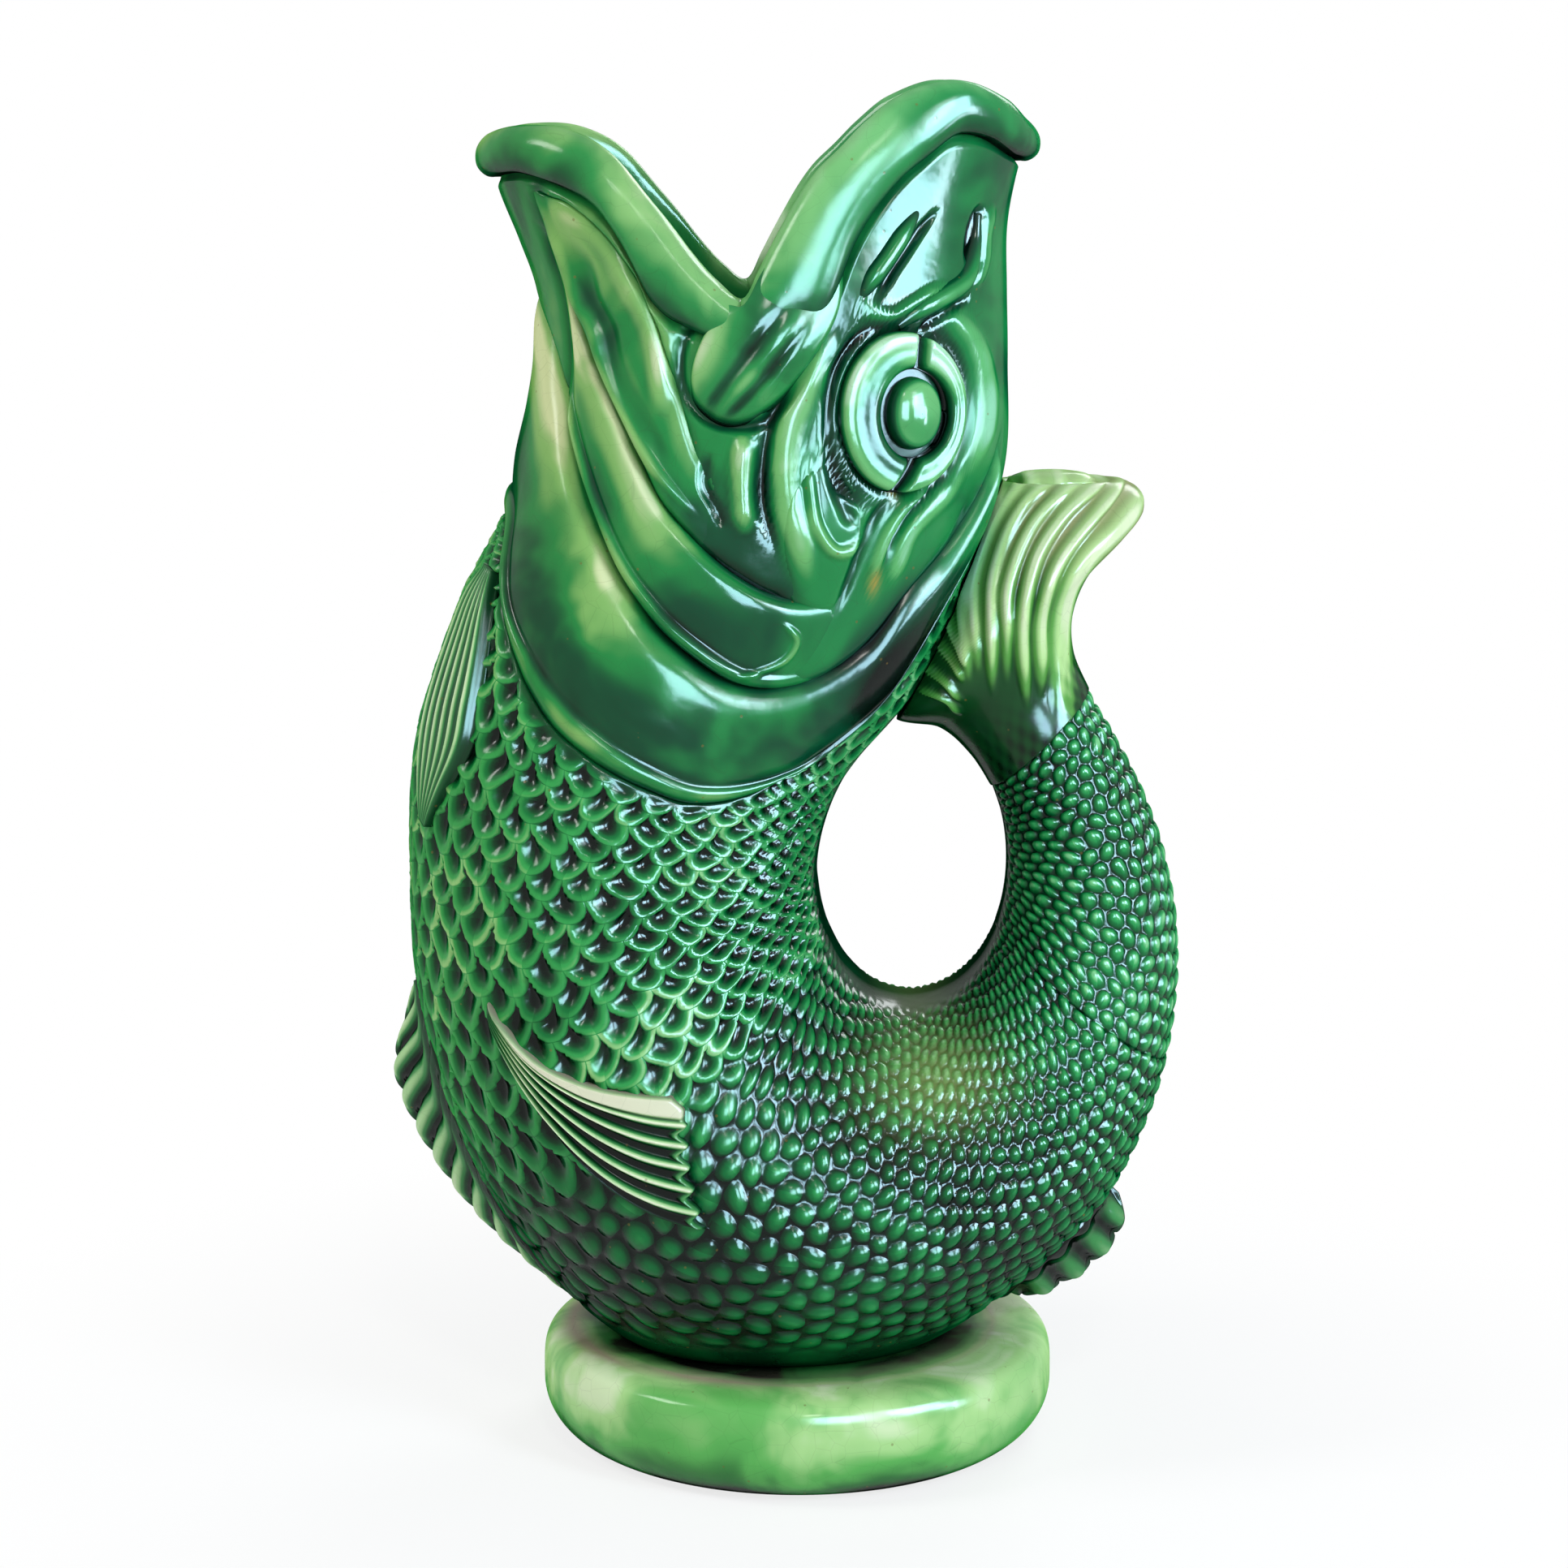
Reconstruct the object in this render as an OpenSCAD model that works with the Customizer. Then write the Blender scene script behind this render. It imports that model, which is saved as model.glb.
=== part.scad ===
/* [Foot] */
// Outer diameter of the rolled foot
foot_d = 95.6; // [86:0.2:106]
// Height of the foot, from the table to the seat of the body
foot_h = 19.6; // [15:0.2:26]
// How far the round nose of the foot runs in from its rim
foot_nose = 9.8; // [6:0.2:11]
// Width of the flat ring that the jug stands on
foot_bearing_w = 5; // [3:0.5:9]
// Depth of the recess under the foot
foot_recess = 11.5; // [6:0.5:12]
// How far the foot's centre stands behind the middle of the jug's length
foot_back = 2.1; // [0:0.1:5]

/* [Finger loop] */
// Width of the finger loop
loop_w = 34; // [28:0.5:38]
// Height of the finger loop
loop_h = 51.4; // [46:0.2:56]
// Height of the loop's centre above the foot
loop_rise = 88.9; // [85:0.1:93]
// How far the loop's centre stands behind the foot's centre
loop_back = 21.2; // [18:0.2:24]

/* [Body and tail] */
// Wall of the cast shells
wall = 4.6; // [3.5:0.1:6]
// Greatest depth of the body, from the finger loop to the belly
body_depth = 82.6; // [78:0.2:88]
// Greatest width of the body
body_w = 94; // [86:0.5:104]
// Depth of the tail beside the finger loop
tail_depth = 30.3; // [27:0.1:34]
// Width of the tail beside the finger loop
tail_w = 34; // [30:0.5:38]
// Depth of the scales pressed in the body
scale_depth = 1.2; // [0.6:0.1:1.6]
// Height of the smooth band between the foot and the scales
smooth_band_h = 5; // [3:0.5:8]

/* [Head] */
// Height of the upper jaw's crest above the finger loop's centre
head_rise = 141.5; // [134:0.5:148]
// Distance across the jaws, from the throat to the nape
head_depth = 92; // [88:0.5:98]
// Width of the head
head_w = 76; // [70:0.5:82]
// How far the middle of the head stands in front of the loop's centre
head_ahead = 28.5; // [25:0.5:31]
// How far the lips stand out from the head
lip_out = 2.6; // [1.5:0.1:3.5]

/* [Tail fin] */
// Height of the tail fin above the end of the tail
fluke_h = 58; // [54:0.5:62]
// Depth of the tail fin at its top
fluke_depth = 41.6; // [38:0.2:46]
// Greatest width of the tail fin
fluke_w = 43; // [36:0.5:50]
// Height of the tail fin's ribs
fluke_rib = 0.9; // [0.4:0.1:1.2]

/* [Applied relief] */
// Slip joint between an applied piece and the shell that carries it
lute_gap = 0.2; // [0.1:0.05:0.3]
// Height of the collar's proud edge
collar_h = 2; // [1.2:0.1:3]
// Height of the gill cover's proud edge
gill_h = 1.9; // [1.2:0.1:3]
// Height of the jaw plate's proud edge
jaw_h = 1.7; // [1:0.1:2.5]
// Height of the cheek's dome
cheek_h = 1.8; // [1:0.1:2.5]
// Height of the lobe at the mouth's corner
lobe_h = 3.4; // [2:0.1:4.5]
// Width of the eye, across the fish's side
eye_w = 21.6; // [18:0.2:25]
// Height of the eye
eye_tall = 28.2; // [24:0.2:31]
// Height that the eye's ring stands proud
eye_h = 1.9; // [1:0.1:2.5]
// Width of the pupil
pupil_w = 9.8; // [8:0.2:11.6]
// Height of the pupil up the head
pupil_tall = 12.2; // [10:0.2:14]
// Height that the pupil stands proud
pupil_h = 2.4; // [1.5:0.1:3.5]
// Width of the brow and nostril folds
fold_w = 4; // [3:0.1:5]
// Height of the brow and nostril folds
fold_h = 1.3; // [0.8:0.1:2]
// Thickness of the side fin at its ribs
side_fin_h = 2.6; // [1.8:0.1:3.5]
// Thickness of the throat leaf at its midrib
leaf_h = 1.8; // [1.2:0.1:2.6]
// How far the belly fin stands out
belly_fin_h = 8; // [6:0.1:9.5]
// How far the rear fin stands out
rear_fin_h = 8; // [5:0.1:9]

/* [Hidden] */

// Glaze colours
glaze_green = [0.10, 0.50, 0.27];
glaze_dark = [0.04, 0.33, 0.20];
glaze_pale = [0.52, 0.75, 0.42];
glaze_foot = [0.40, 0.68, 0.36];

// The sweep of the fish round the finger loop, from the end of the tail to the neck.
// Each row: turn of the outline's point, turn of the loop's point, share of the way
// from the tail's depth to the body's, the same for the width, share of the loop's reach,
// and how much the head's size takes over from the body's.
sweep_shares = [
    [405, 405, -0.094, -0.117, 1, 0],
    [390, 390, -0.088, -0.083, 1, 0],
    [375, 375, -0.052, -0.05, 1, 0],
    [360, 360, 0, 0, 1, 0],
    [345, 345, 0.069, 0.067, 1, 0],
    [330, 330, 0.157, 0.167, 1, 0],
    [315, 315, 0.27, 0.317, 1, 0],
    [300, 300, 0.398, 0.5, 1, 0],
    [285, 285, 0.512, 0.7, 1, 0],
    [270, 270, 0.688, 0.867, 1, 0],
    [255, 255, 0.861, 0.967, 1, 0],
    [240, 240, 1, 1, 1, 0],
    [225, 225, 0.993, 1, 1, 0],
    [210, 210, 0.95, 0.967, 1, 0],
    [195, 195, 0.856, 0.992, 1, 0.25],
    [180, 180, 0.78, 1.017, 1, 0.5],
    [165, 157.5, 0.758, 1.025, 0.965, 0.75],
    [150, 135, 0.727, 1.033, 0.94, 1]];

// The head, from the neck up. Each row: throat's reach in shares of the head's depth,
// its height in shares of the head's rise, the same two for the nape, and a share of the width.
head_shares = [
    [0.543, 0.406, 0.206, 0.136, 1],
    [0.491, 0.47, 0.33, 0.235, 0.987],
    [0.459, 0.534, 0.424, 0.376, 0.974],
    [0.431, 0.597, 0.487, 0.519, 0.96],
    [0.417, 0.661, 0.49, 0.647, 0.934],
    [0.43, 0.739, 0.487, 0.739, 0.908],
    [0.463, 0.802, 0.486, 0.816, 0.882],
    [0.502, 0.866, 0.502, 0.88, 0.868],
    [0.525, 0.929, 0.527, 0.936, 0.855],
    [0.535, 1, 0.545, 1, 0.842]];

// Places on the skin are [ring, turn]: the ring counts the rows above from 0,
// and the turn goes from 0 at the back to 180 at the belly.
// Shares of the rings at which the tail joins the body and at which its hollow starts
tail_joint_share = 0.2037;
tail_room_share = 0.0407;
// Corner of the mouth, as a share of the half turn from the back to the belly
mouth_corner_share = 0.5389;
// The same share for which the rim and the seam below are written
drawn_corner_share = 0.5389;
side_columns = 10;
body_rows = 44;
body_wall_rows = 16;
tail_rows = 17;
tail_wall_rows = 12;
head_rows = 14;

// Edge of the collar, where head and body are joined: rings by turn
collar_edge_shares = [
    [0, 20.9], [14, 20.7], [24, 20], [32, 19.2], [36, 18.4], [44, 17.5], [53, 16.8],
    [69, 16.4], [85, 16.4], [101, 16.5], [118, 16.7], [134, 17.1], [150, 17.9],
    [162, 18.6], [180, 18.9]];
// Line between the collar and the gill cover: rings by turn
gill_edge_shares = [
    [14, 21.5], [24, 20.9], [34, 20.3], [44, 19.8], [50, 19.3], [62, 18.7], [75, 18.45],
    [90, 18.5], [104, 18.7], [120, 19.2], [140, 20.4], [151, 21.4], [163, 22.3], [180, 23]];
// Line between the gill cover and the jaw plate: rings by turn
jaw_edge_shares = [
    [50, 19.7], [62, 19.6], [75, 19.5], [88, 19.55], [102, 19.8], [116, 20.3],
    [135, 21.7], [145, 23], [152, 24.6], [172, 25.2]];
// Upper end of the jaw plate, under the lower lip: rings by turn
jaw_top_shares = [
    [80, 20.8], [90, 20.6], [100, 20.6], [108, 20.9], [116, 22], [121, 23.1],
    [126, 24], [135, 24.7], [145, 24.9], [150, 25.1], [172, 25.4]];
// Heights of the mouth's rim in shares of the head's rise, by turn
rim_shares = [
    [0, 0.94], [18, 0.957], [30, 0.98], [47, 1], [60, 0.979], [67, 0.948], [72, 0.918],
    [77, 0.889], [85, 0.827], [92, 0.774], [97, 0.74], [103, 0.763], [107, 0.79],
    [114, 0.85], [123, 0.911], [135, 0.941], [150, 0.945], [165, 0.937], [180, 0.925]];
// Heights of the seam under the lips in shares of the head's rise, by turn
seam_shares = [
    [0, 0.895], [20, 0.909], [44, 0.935], [54, 0.9], [60, 0.87], [68, 0.813], [79, 0.712],
    [88, 0.688], [97, 0.682], [109, 0.702], [119, 0.735], [122, 0.79], [126, 0.84],
    [133, 0.866], [148, 0.886], [160, 0.885], [180, 0.876]];

loop_x = foot_back + loop_back;
loop_z = foot_h + loop_rise;
head_x = loop_x - head_ahead;
mouth_corner = 180 * mouth_corner_share;

function mix(a, b, share) = a + (b - a) * share;
function unit(v) = v / norm(v);

// Smooth curve through a table of [key, value] rows
function slope(table, i) =
    let (a = table[max(i - 1, 0)], b = table[min(i + 1, len(table) - 1)])
    (b[1] - a[1]) / (b[0] - a[0]);
function row_below(key, table, i) =
    i == 0 || table[i][0] <= key ? i : row_below(key, table, i - 1);
function glide(key, table) =
    let (i = row_below(key, table, len(table) - 2),
         step = table[i + 1][0] - table[i][0],
         f = min(max((key - table[i][0]) / step, 0), 1),
         a = table[i][1],
         b = table[i + 1][1],
         rise_a = slope(table, i) * step,
         rise_b = slope(table, i + 1) * step)
    a + f * (rise_a + f * (3 * (b - a) - 2 * rise_a - rise_b
        + f * (rise_a + rise_b - 2 * (b - a))));

// Distance from the loop's centre to its edge at an angle
function loop_r(a) = loop_w * loop_h / 2 / norm([loop_h * cos(a), loop_w * sin(a)]);
function from_loop(a, r) = [loop_x + r * cos(a), loop_z + r * sin(a)];

rings = concat(
    [for (row = sweep_shares)
        let (depth = mix(tail_depth, body_depth, row[2]) + (head_depth - body_depth) * row[5],
             w = mix(tail_w, body_w, row[3]) + (head_w - body_w) * row[5])
        [from_loop(row[0], loop_r(row[0]) + depth), from_loop(row[1], loop_r(row[1]) * row[4]), w / 2]],
    [for (row = head_shares) [
        [head_x - head_depth * row[0], loop_z + head_rise * row[1]],
        [head_x + head_depth * row[2], loop_z + head_rise * row[3]],
        head_w / 2 * row[4]]]);
last_ring = len(rings) - 1;
neck_ring = len(sweep_shares) - 1;
tail_joint = last_ring * tail_joint_share;
tail_room = last_ring * tail_room_share;

// Smooth curve through the rings
function blend(p0, p1, p2, p3, f) =
    (2 * p1 + (p2 - p0) * f + (2 * p0 - 5 * p1 + 4 * p2 - p3) * f * f
    + (3 * p1 - p0 - 3 * p2 + p3) * f * f * f) / 2;
function along(rows, s) =
    let (last = len(rows) - 1, i = min(max(floor(s), 0), last - 1))
    blend(rows[max(i - 1, 0)], rows[i], rows[i + 1], rows[min(i + 2, last)], s - i);

// One section: the point at a turn, a depth under the skin
function on_section(section, t, depth) =
    let (middle = (section[0] + section[1]) / 2,
         half = (section[1] - section[0]) / 2,
         p = middle + half * (1 - depth / norm(half)) * cos(t))
    [p[0], -(section[2] - depth) * sin(t), max(p[1], foot_h + depth)];
function skin(s, t, depth = 0) = on_section(along(rings, s), t, depth);

// Outward direction of the skin
ring_step_share = 0.02;
turn_step_share = 0.5;
function outward(s, t) =
    unit(cross(skin(s + ring_step_share, t) - skin(s - ring_step_share, t),
               skin(s, t + turn_step_share) - skin(s, t - turn_step_share)));
function proud(s, t, h) = skin(s, t) + outward(s, t) * h;

// Ring and turn of the skin's point that shows at a place in the side view
function place(x, z, s = 21, t = 70, tries = 7) =
    tries == 0 ? [s, t] :
    let (p = skin(s, t),
         ds = (skin(s + ring_step_share, t) - p) / ring_step_share,
         dt = (skin(s, t + turn_step_share) - p) / turn_step_share,
         det = ds[0] * dt[2] - dt[0] * ds[2],
         ex = x - p[0],
         ez = z - p[2],
         s2 = s + (ex * dt[2] - dt[0] * ez) / det,
         t2 = t + (ds[0] * ez - ds[2] * ex) / det)
    place(x, z, min(max(s2, 1), last_ring - 1), min(max(t2, 8), 172), tries - 1);

// Ring at which the skin reaches a height, along one turn of the head
function ring_at(z, t, low = neck_ring + 2, high = last_ring, tries = 14) =
    let (s = (low + high) / 2)
    tries == 0 ? s :
    skin(s, t)[2] < z ? ring_at(z, t, s, high, tries - 1) : ring_at(z, t, low, s, tries - 1);

function fold_turn(t) = abs(t) > 180 ? 360 - abs(t) : abs(t);
// Turn at which the rim and the seam are written for a turn, wherever the mouth's corner is
function drawn_turn(t) =
    let (side = fold_turn(t), drawn = 180 * drawn_corner_share)
    side < mouth_corner ? side * drawn / mouth_corner
        : mix(drawn, 180, (side - mouth_corner) / (180 - mouth_corner));
function seam_ring(t) = ring_at(loop_z + head_rise * glide(drawn_turn(t), seam_shares), t);
function rim_ring(t) = ring_at(loop_z + head_rise * glide(drawn_turn(t), rim_shares), t);

// Turns of the columns, with one column at each corner of the mouth
side_turns = concat(
    [for (j = [0 : side_columns - 1]) mouth_corner * j / side_columns],
    [for (j = [0 : side_columns]) mix(mouth_corner, 180, j / side_columns)]);
turns = concat(side_turns, [for (j = [2 * side_columns - 1 : -1 : 1]) 360 - side_turns[j]]);

function flat(lists) = [for (list = lists) for (item = list) item];
function average(points) = [for (axis = [0 : 2]) [for (p = points) p[axis]]
    * [for (p = points) 1] / len(points)];

// Faces of a strip between two closed rings of vertices, counted from a and b
function ring_strip(a, b, count) = flat([for (j = [0 : count - 1])
    let (k = (j + 1) % count)
    [[a + j, a + k, b + k], [a + j, b + k, b + j]]]);
function fan(centre, a, count, flip) = [for (j = [0 : count - 1])
    let (k = (j + 1) % count)
    flip ? [centre, a + k, a + j] : [centre, a + j, a + k]];

// The same between a ring and one with twice as many vertices, counted from b
function double_strip(a, b, count) = flat([for (j = [0 : count - 1])
    let (k = (j + 1) % count, middle = b + 2 * j + 1)
    [[a + j, a + k, b + 2 * k], [a + j, b + 2 * k, middle], [a + j, middle, middle - 1]]]);
function turned(faces) = [for (face = faces) [face[0], face[2], face[1]]];

// Closed solid through a row of rings, capped at both ends
module ring_solid(loops) {
    count = len(loops[0]);
    last = len(loops) - 1;
    points = concat(flat(loops), [average(loops[0]), average(loops[last])]);
    polyhedron(points, concat(
        flat([for (i = [0 : last - 1]) ring_strip(i * count, (i + 1) * count, count)]),
        fan((last + 1) * count, 0, count, true),
        fan((last + 1) * count + 1, last * count, count, false)));
}

// Closed solid through rings that come round to the first again
module loop_solid(loops) {
    count = len(loops[0]);
    size = len(loops);
    polyhedron(flat(loops), flat([for (i = [0 : size - 1])
        ring_strip(i * count, ((i + 1) % size) * count, count)]));
}

// Hollow shell between outer and inner rings, open at its last ring,
// and at its first ring either open or closed by two caps
module shell_solid(outer, inner, closed_start = false) {
    count = len(outer[0]);
    outer_last = len(outer) - 1;
    inner_last = len(inner) - 1;
    inner_first = len(outer) * count;
    caps = inner_first + len(inner) * count;
    points = concat(flat(outer), flat(inner),
        closed_start ? [average(outer[0]), average(inner[0])] : []);
    start = closed_start
        ? concat(fan(caps, 0, count, true), fan(caps + 1, inner_first, count, false))
        : ring_strip(inner_first, 0, count);
    polyhedron(points, concat(
        flat([for (i = [0 : outer_last - 1]) ring_strip(i * count, (i + 1) * count, count)]),
        flat([for (i = [0 : inner_last - 1])
            ring_strip(inner_first + (i + 1) * count, inner_first + i * count, count)]),
        start,
        ring_strip(outer_last * count, inner_first + inner_last * count, count)));
}

// Applied piece: a grid of [ring, turn, height] laid on the skin
module patch_solid(grid) {
    rows = len(grid);
    columns = len(grid[0]);
    loops = [for (row = grid) concat(
        [for (q = row) proud(q[0], q[1], lute_gap + q[2])],
        [for (j = [columns - 1 : -1 : 0]) proud(row[j][0], row[j][1], lute_gap)])];
    strip = flat([for (i = [0 : rows - 2])
        ring_strip(i * 2 * columns, (i + 1) * 2 * columns, 2 * columns)]);
    last = (rows - 1) * 2 * columns;
    polyhedron(flat(loops), concat(strip,
        flat([for (j = [0 : columns - 2])
            let (k = 2 * columns - 1 - j)
            [[j + 1, j, k], [j + 1, k, k - 1]]]),
        flat([for (j = [0 : columns - 2])
            let (k = 2 * columns - 1 - j)
            [[last + j, last + j + 1, last + k - 1], [last + j, last + k - 1, last + k]]])));
}

// Applied dome with an oval outline in the side view
dome_columns = 20;
dome_rows = [[1, 0], [0.98, 0.45], [0.86, 0.78], [0.6, 0.95], [0.25, 1]];
module dome_solid(x, z, half_w, half_h, lean, h) {
    loops = [for (row = dome_rows) [for (j = [0 : dome_columns - 1])
        let (a = 360 * j / dome_columns,
             u = half_w * row[0] * cos(a),
             v = half_h * row[0] * sin(a),
             q = place(x + u * cos(lean) - v * sin(lean), z + u * sin(lean) + v * cos(lean)))
        proud(q[0], q[1], lute_gap + h * row[1])]];
    ring_solid([for (i = [len(loops) - 1 : -1 : 0]) loops[i]]);
}

// Applied fold: a half-round ridge along points of the side view
module fold_solid(route) {
    last = len(route) - 1;
    spots = [for (p = route) place(p[0], p[1])];
    base = [for (q = spots) skin(q[0], q[1])];
    ring_solid([for (i = [0 : last])
        let (up = outward(spots[i][0], spots[i][1]),
             side = unit(cross(up, base[min(i + 1, last)] - base[max(i - 1, 0)])),
             slim = i == 0 || i == last ? 0.3 : 1,
             w = fold_w / 2 * slim,
             h = fold_h * slim)
        [for (q = [[-1, 0], [-0.75, 0.65], [0, 1], [0.75, 0.65], [1, 0]])
            base[i] + up * (lute_gap + h * q[1]) + side * w * q[0]]]);
}

module pair(side) {
    if (side == "left") children();
    else mirror([0, 1, 0]) children();
}

// Below 1 the foot's upper shoulder is fuller than a round
shoulder_power = 0.44;
nose_steps = 16;
module foot_ring() {
    outer_r = foot_d / 2;
    inner_r = outer_r - foot_nose - foot_bearing_w;
    nose = [for (i = [0 : nose_steps])
        let (a = 90 - 180 * i / nose_steps,
             full = a > 0 ? shoulder_power : 1)
        [outer_r - foot_nose * (1 - pow(cos(a), full)), foot_h / 2 * (1 + sign(a) * pow(abs(sin(a)), full))]];
    color(glaze_foot) translate([foot_back, 0, 0]) rotate_extrude($fn = 96)
        polygon(concat([[0, foot_h]], nose,
            [[inner_r, 0], [inner_r, foot_recess], [0, foot_recess]]));
}

// The body's skin has a high and a low point by turns, like a chessboard. Where the scales
// are cups, edges join the high points, and in the rows of pebbles they join the low ones.
pebble_rows = 27;
function scale_strip(i, count) = flat([for (j = [0 : count - 1])
    let (k = (j + 1) % count,
         a = i * count,
         b = a + count,
         is_high = (i + j) % 2 == 0,
         is_cup = i >= pebble_rows)
    is_high == is_cup ? [[a + j, a + k, b + k], [a + j, b + k, b + j]]
        : [[a + j, a + k, b + j], [a + k, b + k, b + j]]]);

// Depth of the scales' low points, at a share of the way from the tail to the collar, a turn
// and a height. It runs out at both ends, beside the loop, under the belly fin and at the foot.
scale_end_share = 0.05;
scale_back_turns = [10, 28];
scale_belly_turns = [166, 176];
function ramp(v, ends) = min(1, max(0, (v - ends[0]) / (ends[1] - ends[0])));
function scale_press(u, t, z) = scale_depth
    * ramp(min(u, 1 - u), [0, scale_end_share])
    * ramp(fold_turn(t), scale_back_turns)
    * (1 - ramp(fold_turn(t), scale_belly_turns))
    * ramp(z - foot_h, [smooth_band_h, 2 * smooth_band_h]);

module body_shell() {
    function body_point(u, t, depth) =
        skin(mix(tail_joint, glide(fold_turn(t), collar_edge_shares), u), t, depth);
    function turn_after(j) = j + 1 < len(turns) ? turns[j + 1] : turns[0] + 360;
    function scale_point(i, t, is_high) =
        let (u = i / body_rows, high = body_point(u, t, 0))
        is_high ? high : body_point(u, t, scale_press(u, t, high[2]));
    function scale_ring(i) = flat([for (j = [0 : len(turns) - 1]) [
        scale_point(i, turns[j], i % 2 == 0),
        scale_point(i, (turns[j] + turn_after(j)) / 2, i % 2 == 1)]]);
    function end_ring(u) = flat([for (j = [0 : len(turns) - 1])
        let (near = body_point(u, turns[j], 0), far = body_point(u, turn_after(j), 0))
        [near, (near + far) / 2]]);
    outer = concat([end_ring(0)], [for (i = [1 : body_rows - 1]) scale_ring(i)], [end_ring(1)]);
    inner = [for (i = [0 : body_wall_rows]) [for (t = turns) body_point(i / body_wall_rows, t, wall)]];
    count = len(turns);
    inner_first = len(outer) * 2 * count;
    inner_last = inner_first + body_wall_rows * count;
    color(glaze_green) polyhedron(concat(flat(outer), flat(inner)), concat(
        flat([for (i = [0 : body_rows - 1]) scale_strip(i, 2 * count)]),
        flat([for (i = [0 : body_wall_rows - 1])
            ring_strip(inner_first + (i + 1) * count, inner_first + i * count, count)]),
        double_strip(inner_first, 0, count),
        turned(double_strip(inner_last, body_rows * 2 * count, count))));
}

module tail_handle() {
    function tail_ring(s, depth) = [for (t = turns) skin(s, t, depth)];
    color(glaze_dark) shell_solid(
        [for (i = [0 : tail_rows]) tail_ring(mix(0, tail_joint, i / tail_rows), 0)],
        [for (i = [0 : tail_wall_rows]) tail_ring(mix(tail_room, tail_joint, i / tail_wall_rows),
            i == 0 ? wall + tail_w / 8 : wall)],
        closed_start = true);
}

module head_shell() {
    function head_ring(i, depth) = [for (t = turns)
        skin(mix(glide(fold_turn(t), collar_edge_shares), seam_ring(t), i / head_rows), t, depth)];
    color(glaze_green) shell_solid(
        [for (i = [0 : head_rows]) head_ring(i, 0)],
        [for (i = [0 : head_rows]) head_ring(i, wall)]);
}

// Section of a lip: share of the way from seam to rim,
// and share of the lip's reach outwards or, below zero, of the wall inwards
lip_shares = [
    [0, 0], [0.1, 0.6], [0.36, 1], [0.68, 0.86], [0.9, 0.35], [1, -0.35],
    [0.93, -0.85], [0.6, -1], [0, -1]];
function lip_point(s, t, reach) =
    reach > 0 ? proud(s, t, lip_out * reach) : mix(skin(s, t), skin(s, t, wall), -reach);
function lip_section(t) = [for (q = lip_shares)
    lip_point(mix(seam_ring(t), rim_ring(t), q[0]), t, q[1])];

module lower_lip() {
    front_turns = [for (t = turns) if (t >= mouth_corner && t <= 360 - mouth_corner) 360 - t];
    color(glaze_pale) ring_solid([for (t = front_turns) lip_section(t)]);
}

module upper_lip() {
    near_turns = [for (t = turns) if (t >= 360 - mouth_corner) 360 - t];
    far_turns = [for (t = turns) if (t <= mouth_corner) -t];
    color(glaze_pale) ring_solid([for (t = concat(near_turns, far_turns)) lip_section(t)]);
}

// From the mouth's corner to the middle of the lobe
lobe_shares = [-0.0352, -0.05];
lobe_size_shares = [0.083, 0.11];
module lip_lobe(side) {
    corner = skin(seam_ring(mouth_corner), mouth_corner);
    color(glaze_pale) pair(side) dome_solid(
        corner[0] + head_depth * lobe_shares[0], corner[2] + head_rise * lobe_shares[1],
        head_depth * lobe_size_shares[0], head_depth * lobe_size_shares[1], -38, lobe_h);
}

// Height of a band across its width, from its proud edge to its thin edge
band_shares = [[0, 0.55], [0.07, 0.95], [0.2, 1], [0.5, 0.62], [1, 0.25]];
band_columns = 18;
band_clear_share = 0.06;
module band(from_turn, to_turn, low_edge, high_edge, h) {
    patch_solid([for (i = [0 : band_columns])
        let (t = mix(from_turn, to_turn, i / band_columns),
             low = glide(t, low_edge) + band_clear_share,
             high = glide(t, high_edge) - band_clear_share,
             fade = min(1, 0.35 + 2.6 * min(i, band_columns - i) / band_columns))
        [for (q = band_shares) [mix(low, high, q[0]), t, h * q[1] * fade]]]);
}

module gill_collar(side) {
    color(glaze_green) pair(side) band(180, 16, collar_edge_shares, gill_edge_shares, collar_h);
}

module gill_cover(side) {
    color(glaze_green) pair(side) band(151, 52, gill_edge_shares, jaw_edge_shares, gill_h);
}

module jaw_plate(side) {
    color(glaze_dark) pair(side) band(148, 84, jaw_edge_shares, jaw_top_shares, jaw_h);
}

cheek_shares = [0.125, 0.45];
cheek_size_shares = [0.085, 0.1];
module cheek(side) {
    color(glaze_dark) pair(side) dome_solid(
        head_x + head_depth * cheek_shares[0], loop_z + head_rise * cheek_shares[1],
        head_depth * cheek_size_shares[0], head_depth * cheek_size_shares[1], 0, cheek_h);
}

eye_shares = [0.272, 0.601];
pupil_shares = [0.298, 0.599];
eye_x = head_x + head_depth * eye_shares[0];
eye_z = loop_z + head_rise * eye_shares[1];
pupil_x = head_x + head_depth * pupil_shares[0];
pupil_z = loop_z + head_rise * pupil_shares[1];
// Section of the eye's ring: share of the way from the pupil's groove to the rim, and of its height
eye_section_shares = [[0, 0], [0.06, 0.6], [0.3, 1], [0.7, 0.9], [0.97, 0.4], [1, 0]];
eye_groove = 1.4;
module eye_ring(side) {
    color(glaze_pale) pair(side) loop_solid([for (j = [0 : 23])
        let (a = -360 * j / 24)
        [for (q = eye_section_shares)
            let (half_w = mix(pupil_w / 2 + eye_groove, eye_w / 2, q[0]),
                 half_h = mix(pupil_tall / 2 + eye_groove, eye_tall / 2, q[0]),
                 spot = place(mix(pupil_x, eye_x, q[0]) + half_w * cos(a),
                     mix(pupil_z, eye_z, q[0]) + half_h * sin(a)))
            proud(spot[0], spot[1], lute_gap + eye_h * q[1])]]);
}

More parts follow.
